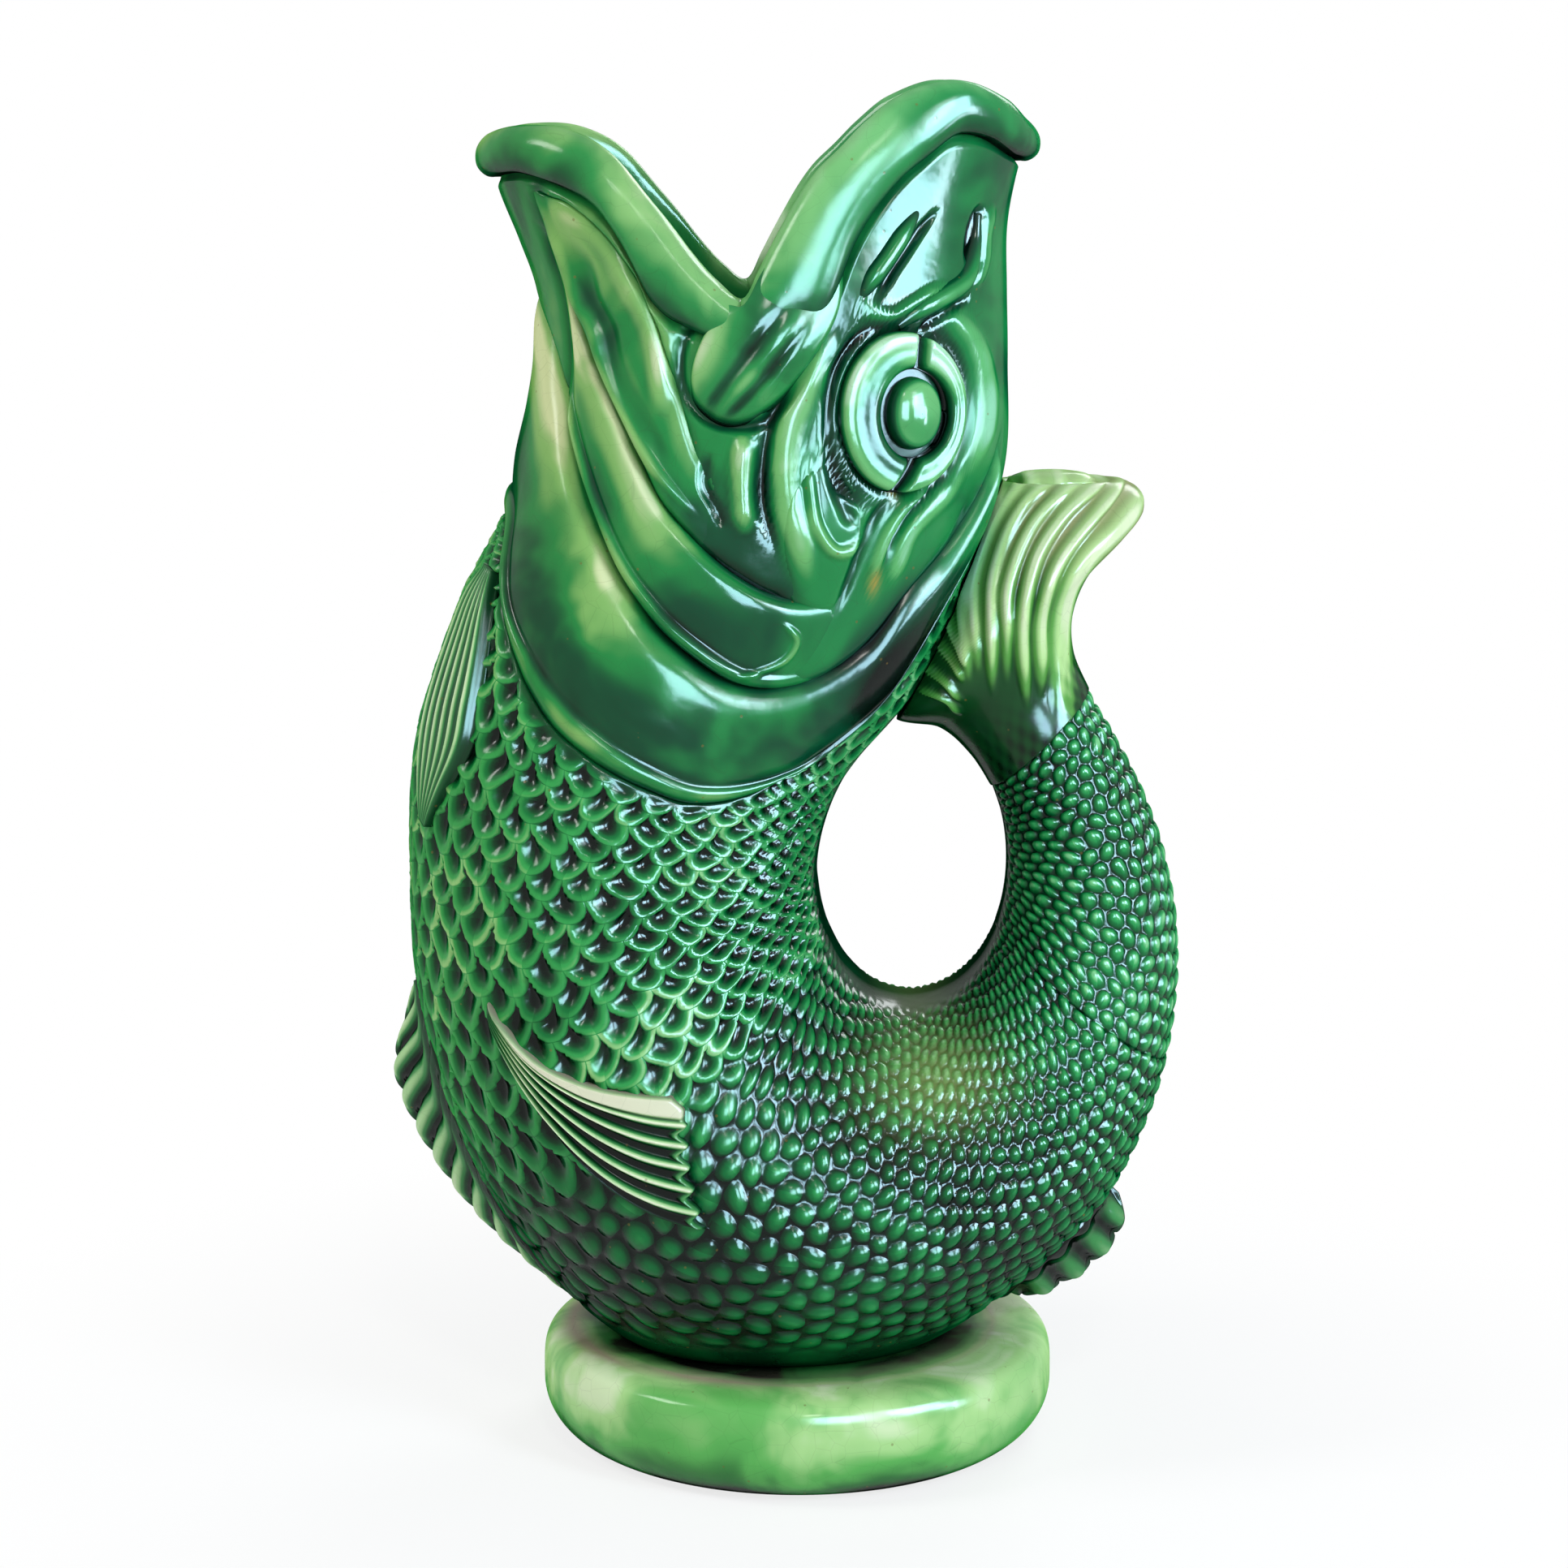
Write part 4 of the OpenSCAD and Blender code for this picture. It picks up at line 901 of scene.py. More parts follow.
def scale_counts(s, t):
    side = drawn_turn(t)
    i = np.clip(s / table_ring_step, 0, len(table_rings) - 1.001)
    j = np.clip(side / table_turn_step, 0, len(table_turns) - 1.001)
    i0, j0 = i.astype(int), j.astype(int)
    fi, fj = i - i0, j - j0
    a = across_table
    across = (a[i0, j0] * (1 - fi) * (1 - fj) + a[i0 + 1, j0] * fi * (1 - fj)
              + a[i0, j0 + 1] * (1 - fi) * fj + a[i0 + 1, j0 + 1] * fi * fj)
    return across, np.interp(s, table_rings, along_table)


def scaly_values(s, t, points):
    """Values at the points of the scaly skin that the scales and their glaze read."""
    across, lengthwise = scale_counts(s, t)
    wander = np.sin(1.9 * across + 1.3 * np.sin(1.3 * lengthwise))
    across = across + 0.1 * np.sin(2.1 * lengthwise + 1.7 * np.sin(0.9 * across))
    lengthwise = lengthwise + 0.13 * wander
    side = drawn_turn(t)
    collar = glide(side, collar_edge)
    near_collar = eased(collar - s, 0.02, 0.16)
    near_foot = eased(points[..., 2], foot_h + 4 * MM, foot_h + 9 * MM)
    near_loop = eased(side, 8, 20)
    scaly = near_collar * near_foot * near_loop
    cup = eased(s, 11.9, 12.7)
    rim = 1 - eased(points[..., 2], foot_h, foot_h + 2.2 * MM)
    smooth_thin = 0.16 + 0.14 * near_loop - 0.1 * rim
    worn = np.hypot((points[..., 0] - 27 * MM) / (11 * MM), (points[..., 2] - 75 * MM) / (7 * MM))
    tan = 0.55 * np.exp(-worn ** 2)
    return dict(across=across, lengthwise=lengthwise, scaly=scaly, cup=cup,
                smooth_thin=smooth_thin, tan=tan, outward=outward(s, t))


def turns_round(columns):
    return np.arange(columns) * 360 / columns


def make_body():
    """Scaly body from the tail's joint to the collar, over its smooth inner wall."""
    columns, rows = 372, 244
    t = turns_round(columns)[None]
    edge = glide(drawn_turn(t), collar_edge)
    s = mix(tail_joint, edge, np.linspace(0, 1, rows)[:, None]) + 0 * t
    outer = skin(s, t)
    values = scaly_values(s, t + 0 * s, outer)
    t_in = turns_round(93)[None]
    edge_in = glide(drawn_turn(t_in), collar_edge)
    s_in = mix(tail_joint, edge_in, np.linspace(0, 1, 50)[:, None])
    piece = shell_piece("body_scales", outer, skin(s_in, t_in + 0 * s_in, wall),
                        fills={"smooth_thin": 0.5}, **values)
    press(piece, scales_in_skin, {"Glaze": scale_glaze})
    return piece


def make_tail():
    """Scaly tail curled up behind the body as the handle."""
    columns, rows = 288, 170
    t = turns_round(columns)[None]
    s = np.linspace(0, tail_joint, rows)[:, None] + 0 * t
    outer = skin(s, t)
    values = scaly_values(s, t + 0 * s, outer)
    t_in = turns_round(72)[None]
    s_in = np.linspace(last_ring * 0.0407, tail_joint, 40)[:, None] + 0 * t_in
    deep = np.where(np.arange(40) == 0, wall + tail_w / 8, wall)[:, None]
    piece = shell_piece("tail_scales", outer, skin(s_in, t_in + 0 * s_in, deep),
                        closed_start=True, fills={"smooth_thin": 0.4}, **values)
    press(piece, scales_in_skin, {"Glaze": scale_glaze, "Pebble depth": 0.85 * MM})
    return piece


eye_outer = (19.8 * MM, 193.6 * MM, 10.8 * MM, 14.1 * MM)
eye_inner = (22.2 * MM, 193.3 * MM, 5.7 * MM, 7.6 * MM)
pupil_oval = (22.2 * MM, 193.3 * MM, 4.4 * MM, 6.3 * MM)


def in_oval(x, z, oval):
    """Distance from an oval's middle, 1 at its edge."""
    return np.hypot((x - oval[0]) / oval[2], (z - oval[1]) / oval[3])


def end_fade(t, end, length):
    """How far a band has risen out of the head, by its turn from its rear end."""
    return eased(t, end, end + length)


fold_depth = 1.25
fold_map = fold_depth * fold_relief(map_x, map_z)
thin_map = mix(thinness(fold_map, 8, 8), thinness(fold_map, 24, 24), 0.45)


def by_loop(x, z):
    """How deep in the shade of the loop a place on the head or collar is."""
    return eased(x, 0, 14 * MM) * (1 - eased(z, 146 * MM, 172 * MM))


def make_head():
    """Skin of the head, with its folds, lowered where gills, eyes and cheeks lie on it."""
    columns, rows = 340, 170
    t = turns_round(columns)[None]
    side = drawn_turn(t)
    f = np.linspace(0, 1, rows)[:, None]
    seam = seam_ring(t)
    s = mix(glide(side, collar_edge), seam, f)
    side = side + 0 * s
    flat = skin(s, t + 0 * s)
    x, z = flat[..., 0], flat[..., 2]
    height = fold_depth * fold_relief(x, z)
    under_collar = (side > 16) & (s < glide(side, gill_edge))
    under_cover = (side > 52) & (side < 151) & (s < glide(side, jaw_edge))
    under_plate = (side > 84) & (side < 148) & (s < glide(side, jaw_top))
    covered = under_collar * end_fade(side, 16, 6)
    covered = np.maximum(covered, under_cover * (s > glide(side, gill_edge)) * end_fade(side, 52, 34))
    covered = np.maximum(covered, under_plate * (s > glide(side, jaw_edge)) * end_fade(side, 84, 44))
    covered = smoothed(eased(covered, 0.2, 0.8), 1, 1, True)
    eye = 1 - eased(in_oval(x, z, eye_outer), 0.97, 1.06)
    height = height * (1 - covered) * (1 - eye) - 1.4 * MM * np.maximum(covered, eye)
    height = np.maximum(height, -1.6 * MM)
    room = (seam - s) / (seam - glide(drawn_turn(t), collar_edge))
    height -= 1.1 * MM * (1 - eased(room, 0, 0.035))
    points = flat + outward(s, t + 0 * s) * height[..., None]
    t_in = turns_round(85)[None]
    s_in = mix(glide(drawn_turn(t_in), collar_edge), seam_ring(t_in), np.linspace(0, 1, 36)[:, None])
    by_edge = smoothed(np.maximum(covered, eye), 3, 2, True)
    thin = (sample(thin_map, x, z) + 0.06 - 0.22 * by_loop(x, z)) * (1 - 0.95 * by_edge)
    lift = 0.06 * eased(z, 0.165, 0.23)
    burnt = sum(np.exp(-((x - cx * MM) / (0.7 * MM)) ** 2 - ((z - cz * MM) / (2 * MM)) ** 2)
                for cx, cz in ((18.7, 181.1), (15.3, 164.2)))
    piece = shell_piece("head_skin", points, skin(s_in, t_in + 0 * s_in, wall),
                        fills={"thin": 0.5}, thin=np.clip(thin + lift, 0, 1), tan=0.8 * burnt)
    return glazed(piece, head_glaze)


collar_profile = [[0, -0.55], [0.025, 0.1], [0.06, 0.5], [0.095, 0.42], [0.125, 0.12], [0.17, 0.4],
                  [0.3, 0.78], [0.5, 0.95], [0.72, 1.0], [0.86, 0.8], [0.95, 0.15], [1, -0.6]]
cover_profile = [[0, -0.5], [0.03, 0.35], [0.09, 0.95], [0.14, 0.9], [0.19, 0.5], [0.215, 0.42],
                 [0.25, 0.55], [0.38, 0.78], [0.6, 0.95], [0.8, 1.0], [0.91, 0.75], [0.97, 0.1],
                 [1, -0.6]]
plate_profile = [[0, -0.5], [0.05, 0.5], [0.14, 0.95], [0.3, 0.8], [0.6, 0.6], [0.85, 0.35],
                 [1, -0.3]]


def make_band(name, side, from_turn, to_turn, low, high, profile, h, ends, detail):
    """A band of the gills or jaw laid on the head, its edges dipping in their grooves."""
    u = np.linspace(0, 1, detail[0])[:, None]
    q = np.linspace(0, 1, detail[1])[None]
    t = mix(from_turn, to_turn, u) + 0 * q
    s = mix(glide(t, low), glide(t, high), q)
    flat = skin(s, t)
    fade = (eased(u, 0, ends[0]) if ends[0] else 1) * end_fade(t, to_turn, ends[1])
    folds_here = fold_depth * fold_relief(flat[..., 0], flat[..., 2])
    height = mix(-0.7 * MM + folds_here, glide(q, profile) * h + 0.8 * folds_here, fade)
    up = outward(s, t)
    thin = thinness(height, 6, 4, False)
    crest = 0.34 * eased(q, 0.35, 0.75) * eased(t, 60, 125)
    thin = mix(sample(thin_map, flat[..., 0], flat[..., 2]), thin + crest, fade)
    thin = np.clip(thin - 0.3 * by_loop(flat[..., 0], flat[..., 2]), 0, 1)
    piece = patch_piece(name, both_sides(flat + up * height[..., None], side),
                        both_sides(skin(s, t, sunk), side), fills={"thin": 0.4}, thin=thin)
    return glazed(piece, head_glaze)


def closed_curve(rows, steps):
    """Smooth closed curve through rows."""
    rows = np.array(rows, float)
    n = len(rows)
    s = np.arange(n * steps) / steps
    i = s.astype(int)
    f = (s - i)[:, None]
    return between(*(rows[(i + k) % n] for k in (-1, 0, 1, 2)), f)


def make_lip(name, turns):
    """A rolled lip along the rim, from one corner of the mouth to the other."""
    t = np.asarray(turns, float)[:, None]
    section = closed_curve(lip_shares, 5)
    share, reach = section[:, 0][None], section[:, 1][None]
    s = mix(seam_ring(t), rim_ring(t), np.clip(share, 0, 1))
    t = t + 0 * share
    out = np.clip(reach, 0, None) * lip_out
    depth = np.clip(-reach, 0, 1) * wall
    points = skin(s, t, depth) + outward(s, t) * out[..., None]
    crest = glide(share, [[0, 0.06], [0.15, 0.3], [0.5, 0.5], [0.85, 0.68], [1, 0.74]])
    inside = np.where(reach < -0.4, 1.05, 1)
    side = np.abs(drawn_turn(t) - mouth_corner)
    thin = np.clip(crest * inside + 0.1 * eased(60 - side, 0, 60), 0, 1)
    piece = ring_piece(name, points, fills={"thin": 0.4}, thin=thin)
    return glazed(piece, lip_glaze)


def dome_grid(cx, cz, half_w, half_h, lean, rows, columns, fullness=1.0):
    """Rings and turns of an oval in the side view, from its middle to its edge."""
    r = np.linspace(0.02, 1, rows)[:, None]
    a = np.arange(columns) * math.tau / columns
    u = half_w * r * np.sign(np.cos(a)) * np.abs(np.cos(a)) ** fullness
    v = half_h * r * np.sign(np.sin(a)) * np.abs(np.sin(a)) ** fullness
    c, w = math.cos(math.radians(lean)), math.sin(math.radians(lean))
    s, t = place(cx + u * c - v * w, cz + u * w + v * c)
    return s, t, r + 0 * u, u / half_w, v / half_h


def dome_piece(name, side, s, t, height, thin, material):
    """Applied piece from its middle out to its edge, closed underneath."""
    top = skin(s, t) + outward(s, t) * height[..., None]
    last = top.shape[0] - 1
    under = skin(s[last:], t[last:], sunk)
    loops = np.concatenate([top, under])
    thin = np.concatenate([thin, thin[last:]])
    piece = ring_piece(name, both_sides(loops, side), fills={"thin": 0.5}, thin=thin)
    return glazed(piece, material)


# Creases along the lobe, across its width
lobe_folds = [[-1, 0], [-0.5, 0], [-0.22, -0.1], [-0.04, -0.62], [0.12, -0.1], [0.28, 0],
              [0.44, -0.7], [0.6, -0.1], [0.8, 0], [1, 0]]


def make_lobe(side):
    """The lobe in which the upper lip ends at the mouth's corner, with its folds."""
    s, t, r, u, v = dome_grid(-3.2 * MM, 207.4 * MM, 9.3 * MM, 17.9 * MM, -37, 40, 110, 0.84)
    s = np.minimum(s, rim_ring(t) - 0.12)
    bulge = np.clip(1 - r ** 2.4, 0, 1) ** 0.6
    place_across = u / np.sqrt(np.clip(1.05 - 0.6 * v * v, 0.2, 1))
    crease = glide(place_across, lobe_folds) * eased(-v, -0.5, 0.4) * (1 - eased(r, 0.78, 0.95))
    hang = mix(1, 0.25, eased(v, -0.1, 0.8))
    height = lobe_h * 1.1 * bulge * hang + 1.5 * MM * crease * bulge - 1.2 * MM * eased(r, 0.88, 1)
    left = eased(-place_across, 0.25, 0.8)
    thin = 0.46 + 0.6 * crease + 0.36 * left * eased(-v, -0.2, 0.4) + 0.1 * eased(place_across, 0.1, 0.25)
    thin = np.clip(thin * (1 - 0.85 * eased(r, 0.9, 1)), 0, 1)
    return dome_piece("lip_lobe_" + side, side, s, t, height, thin, lip_glaze)


def make_cheek(side):
    """The cheek below the eye, a soft swelling with a hollow pressed in it."""
    s, t, r = dome_grid(6.3 * MM, 172.2 * MM, 7.8 * MM, 14.1 * MM, 0, 30, 84)[:3]
    flat = skin(s, t)
    height = cheek_h * (0.6 * (1 - r ** 2) ** 2 + 0.05 - 0.35 * eased(r, 0.8, 1))
    height += fold_depth * fold_relief(flat[..., 0], flat[..., 2])
    thin = sample(thin_map, flat[..., 0], flat[..., 2]) + 0.1 * (1 - r ** 2)
    return dome_piece("cheek_" + side, side, s, t, height, thin, head_glaze)


def make_pupil(side):
    cx, cz, half_w, half_h = pupil_oval
    s, t, r, _, v = dome_grid(cx, cz, half_w, half_h, 0, 22, 60)
    height = pupil_h * (np.sqrt(np.clip(1.02 - r ** 2, 0, 1)) - 0.5 * eased(r, 0.93, 1))
    thin = np.clip(0.86 - 0.5 * eased(r, 0.75, 1) + 0.1 * v, 0, 1)
    return dome_piece("pupil_" + side, side, s, t, height, thin, lip_glaze)


def make_eye_ring(side):
    """The two crescents round the pupil, parted above and below it."""
    a = np.arange(168)[:, None] * math.tau / 168
    q = np.linspace(0, 1, 26)[None]
    x = mix(eye_inner[0] + eye_inner[2] * np.cos(a), eye_outer[0] + eye_outer[2] * np.cos(a), q)
    z = mix(eye_inner[1] + eye_inner[3] * np.sin(a), eye_outer[1] + eye_outer[3] * np.sin(a), q)
    s, t = place(x, z)
    roll = glide(q, [[0, -0.5], [0.07, 0.35], [0.22, 0.8], [0.5, 0.92], [0.78, 1.0], [0.93, 0.6],
                     [1, -0.95]])
    turn = np.degrees(np.arctan2(z - eye_inner[1], x - eye_inner[0]))
    above = np.abs(turn - 86) * np.hypot(x - eye_inner[0], z - eye_inner[1]) / 57.3
    below = np.abs(turn - mix(-92, -107, q)) * np.hypot(x - eye_inner[0], z - eye_inner[1]) / 57.3
    slit = (1 - eased(above, 0.3 * MM, 1.3 * MM)) + (1 - eased(below, 0.35 * MM, 1.5 * MM))
    height = mix(eye_h * roll, -0.9 * MM, np.clip(slit, 0, 1))
    left = eased(-np.cos(a), -0.3, 0.6)
    thin = 0.4 + 0.5 * eased(q, 0.4, 0.8) * left + 0.4 * eased(roll, 0.5, 1) * (1 - left)
    thin = (thin + 0.2 * eased(np.sin(a), 0, 0.9)) * (1 - np.clip(slit, 0, 1)) - 0.35 * eased(q, 0.93, 1)
    thin = thin * eased(roll, -0.4, 0.5)
    loops = np.concatenate([
        skin(s, t) + outward(s, t) * height[..., None],
        skin(s[:, ::-5], t[:, ::-5], sunk)], axis=1)
    dark = np.full((168, loops.shape[1] - 26), 0.1)
    values = np.concatenate([np.clip(thin, 0, 1), dark], axis=1)
    rows, columns = loops.shape[:2]
    points = both_sides(loops, side).transpose(1, 0, 2)
    quads = grid_faces(columns, rows, True)
    closing = strip_faces(np.arange(rows) + (columns - 1) * rows, np.arange(rows), True)
    piece = make_piece("eye_ring_" + side, points, np.concatenate([quads, closing]),
                       thin=values.T.ravel())
    return glazed(piece, lip_glaze)


brow_route = [[19.5, 208.2], [21.7, 210], [24.6, 211.8], [28.2, 213.6], [31.4, 216], [33.2, 221],
              [34.2, 227]]
nostril_route = [[12.6, 212.8], [14.6, 216.2], [17.4, 220], [20.4, 224.4], [23, 228.2]]


def make_fold(name, side, route, half):
    """A raised fold over the eye or by the nostril, running out at both ends."""
    spots = curve(np.array(route) * MM, 10)
    s, t = place(spots[:, 0], spots[:, 1])
    base, up = skin(s, t), outward(s, t)
    run = np.gradient(base, axis=0)
    over = np.cross(up, run)
    over /= np.linalg.norm(over, axis=1, keepdims=True)
    u = np.linspace(0, 1, len(spots))[:, None]
    q = np.linspace(-1, 1, 21)[None]
    slim = eased(u, -0.1, 0.35) * eased(1 - u, -0.1, 0.35)
    rise = fold_h * (1.15 * np.cos(q * math.pi / 2) ** 0.8 * slim) - 0.7 * MM * np.abs(q) ** 4
    rise = rise - 0.5 * MM * (1 - slim)
    wide = (half * mix(0.35, 1, slim) * q)[..., None] * over[:, None]
    top = base[:, None] + wide + up[:, None] * rise[..., None]
    under = base[:, None] + wide - up[:, None] * sunk
    thin = np.clip(0.2 + 0.6 * np.cos(q * math.pi / 2) * slim, 0, 1)
    piece = patch_piece(name + side, both_sides(top, side), both_sides(under, side),
                        fills={"thin": 0.3}, thin=thin)
    return glazed(piece, head_glaze)


def fin_piece(name, side, s, t, height, rib, reach, plain, runs, material, sizes, tan=0.0):
    """Applied fin from rings, turns and heights, with ribs pressed in it."""
    up = outward(s, t)
    top = skin(s, t) + up * height[..., None]
    piece = patch_piece(name, both_sides(top, side), both_sides(skin(s, t, 1.5 * MM), side),
                        rib=rib, reach=reach, plain=plain, runs=runs, tan=tan + 0 * s,
                        outward=both_sides(up, side))
    press(piece, ribs_in_fin, {"Glaze": material, **sizes})
    return piece


def make_side_fin(side):
    """Side fin: a broad upper band and thin ribs with wide troughs, scalloped behind."""
    v = np.linspace(0, 1, 176)[:, None]
    u = np.linspace(0, 1, 90)[None]
    ribs = v * 6.42 - 0.42
    scallop = 0.028 * np.cos(ribs * math.tau) * eased(u, 0.8, 1) * eased(v, 0.15, 0.25)
    k = np.clip((u + scallop - 0.028) * (1 - 0.07 * (1 - eased(v, 0, 0.12)) * u), 0, 1)
    low, top = along(fin_low, 4 * (k + 0 * v)), along(fin_top, 4 * (k + 0 * v))
    bow = 2 * u * (1 - u) * v * (1 - v)
    s = mix(top[..., 0], low[..., 0], v) + bow
    t = mix(top[..., 1], low[..., 1], v)
    edge = np.minimum(eased(v, 0, 0.03), eased(1 - v, 0, 0.04)) * eased(1 - u, 0, 0.03)
    height = mix(-0.8 * MM, side_fin_h * mix(0.45, 1, u), edge * eased(u, -0.05, 0.12))
    band = 1 - eased(v, 0.15, 0.21)
    plain = np.maximum(band * np.ones_like(u), 0.75 * eased(u, 0.93, 0.98) * np.ones_like(v))
    runs = mix(1.0, 0.92, v) * edge * (0.75 + 0.3 * eased(u, 0.0, 0.3))
    return fin_piece("side_fin_" + side, side, s, t, height, ribs + 0 * u, eased(u, 0.02, 0.25) + 0 * v,
                     plain, runs, fin_glaze, {"Rib height": 1.5 * MM, "Crest sharpness": 2.4},
                     0.35 * band)


def make_leaf(side):
    """Ribbed leaf beside the throat."""
    v = np.linspace(0, 1, 90)[:, None]
    u = np.linspace(0, 1, 70)[None]
    front, rear = along(leaf_front, 4 * (u + 0 * v)), along(leaf_rear, 4 * (u + 0 * v))
    s = mix(rear[..., 0], front[..., 0], v)
    t = mix(rear[..., 1], front[..., 1], v)
    edge = np.minimum(eased(v, 0, 0.1), eased(1 - v, 0, 0.1))
    height = mix(-0.6 * MM, leaf_h * mix(0.7, 1, np.sin(u * math.pi)), edge)
    ribs = v * 7
    runs = 0.9 * edge + 0.2 * (1 - eased(v, 0.0, 0.16))
    return fin_piece("throat_leaf_" + side, side, s, t, height, ribs + 0 * u,
                     np.sin(u * math.pi) ** 0.5 + 0 * v, 0.3 + 0 * s, runs + 0 * u, fin_glaze,
                     {"Rib height": 0.6 * MM, "Crest sharpness": 1.0})


def make_comb(name, first, last, ribs, half_turn, h, swell, slant, shade):
    """Comb fin on the middle line: long leaves side by side, slanting up the flanks."""
    u = np.linspace(0, 1, ribs * 18 + 1)[:, None]
    q = np.linspace(-1, 1, 97)[None]
    away = np.abs(q)
    profile = glide(away, [[0, 1], [0.14, 0.92], [0.27, 0.62], [0.4, 0.28], [0.6, 0.12],
                           [0.85, 0.06], [1, -0.04]])
    rib = u * ribs + slant * away + 0.5
    tip = 0.84 + 0.16 * np.sqrt(np.abs(np.cos(rib * math.pi)))
    s = mix(first, last, u) + 0.15 * away
    t = 180 - half_turn * q * glide(u, [[0, 0.5], [0.2, 0.9], [0.55, 1], [0.85, 0.85], [1, 0.45]])
    height = h * profile * mix(1, tip, eased(profile, 0.2, 0.8)) * glide(u, swell)
    height = height + 0.4 * MM * (1 - eased(away, 0.8, 1)) - 0.5 * MM * (away > 0.985)
    up = outward(s, t)
    top = skin(s, t) + up * height[..., None]
    face = np.cross(np.gradient(top, axis=0), np.gradient(top, axis=1))
    face /= np.linalg.norm(face, axis=-1, keepdims=True)
    face *= np.sign(np.sum(face * up, -1).mean())
    reach = (1 - eased(away, 0.8, 1)) * eased(away, 0.0, 0.06) + 0 * u
    runs = (1.0 - 0.62 * eased(away, 0.3, 0.95)) * mix(0.8, 1, eased(profile, 0.1, 0.9))
    runs = shade * runs + 0 * u
    piece = patch_piece(name, top, skin(s, t, 1.5 * MM), rib=rib + 0 * s, reach=reach,
                        plain=0 * s, runs=runs, outward=face)
    press(piece, ribs_in_fin, {"Glaze": fin_glaze, "Rib height": 1.1 * MM, "Crest sharpness": 0.7})
    return piece


def nape(y, z):
    """Where the back of the head is, at a height and a place across it."""
    low, high = np.full(y.shape, float(neck_ring)), np.full(y.shape, neck_ring + 6.0)
    for _ in range(20):
        s = (low + high) / 2
        section = along(rings, s)
        t = np.degrees(np.arcsin(np.minimum(0.99, np.abs(y) / section[..., 4])))
        p = skin(s, t)
        below = p[..., 2] < z
        low, high = np.where(below, s, low), np.where(below, high, s)
    return p[..., 0]


def make_fluke():
    """Ribbed tail fin with a rounded top, leaning on the nape."""
    top = fluke_h + tail_depth / 2
    rows = [list(rings[0])]
    for reach, rise, in_reach, in_rise, wide in fluke_shares:
        rows.append([loop_x + fluke_depth * reach, loop_z + top * rise,
                     loop_x + fluke_depth * in_reach, loop_z + top * in_rise,
                     fluke_w / 2 * wide])
    rows = np.array(rows)
    crown = 2.2 * MM
    round_off = np.radians(np.linspace(89, 0, 15))[:-1]
    u = np.concatenate([np.ones(14), np.linspace(1, 0, 120)])[:, None]
    narrow = np.concatenate([np.cos(round_off) ** 0.8, np.ones(120)])[:, None]
    lift = np.concatenate([np.sin(round_off), np.zeros(120)])[:, None]
    t = (np.arange(512) * 360 / 512)[None]
    section = along(rows, u * (len(rows) - 1) + 0 * t)
    middle = (section[..., 0:2] + section[..., 2:4]) / 2
    half = (section[..., 2:4] - section[..., 0:2]) / 2 * narrow[..., None]
    size = np.linalg.norm(half, axis=-1)
    a = np.radians(t)
    flat = middle + half * np.cos(a)[..., None]
    crest = np.clip(fold_relief(flat[..., 0], flat[..., 1], fluke_ribs) / (1.0 * MM), 0, 1)
    swell = eased(u, 0.02, 0.2) * np.abs(np.sin(a)) ** 0.5 * narrow
    ripple = fluke_rib * (2 * crest - 1) * swell
    p = middle + half * ((1 + ripple / size) * np.cos(a))[..., None]
    y = -(section[..., 4] * narrow + ripple) * np.sin(a)
    x = np.where(u > 0, np.maximum(p[..., 0], nape(y, p[..., 1]) + lute_gap), p[..., 0])
    z = p[..., 1] - crown * eased(u, 0.9, 1) + crown * lift
    points = np.stack([x, y, z], -1)
    upper = eased(z, 0.158, 0.172)
    thin = mix(mix(0.3, 0.5, upper), 0.97, crest) * mix(0.6, 1, eased(z, 0.134, 0.158))
    thin += 0.1 * (1 - eased(u, 0, 0.3)) * np.sin(a * 26) * np.sin(u * 70)
    edge = eased(np.cos(a), 0.45, 0.9) + 0 * z
    # Painted shade: a teal cast along the fin's front edge, low down where it presses on the back of the
    # head.
    teal = 0.8 * edge * (1 - eased(z, 0.166, 0.178))
    tan = 0.75 * upper * (1 - crest) * (1 - edge)
    piece = ring_piece("tail_fin_flutes", points, fills={"thin": 0.5},
                       thin=np.clip(thin, 0, 1), teal=teal, tan=tan)
    return glazed(piece, fluke_glaze)


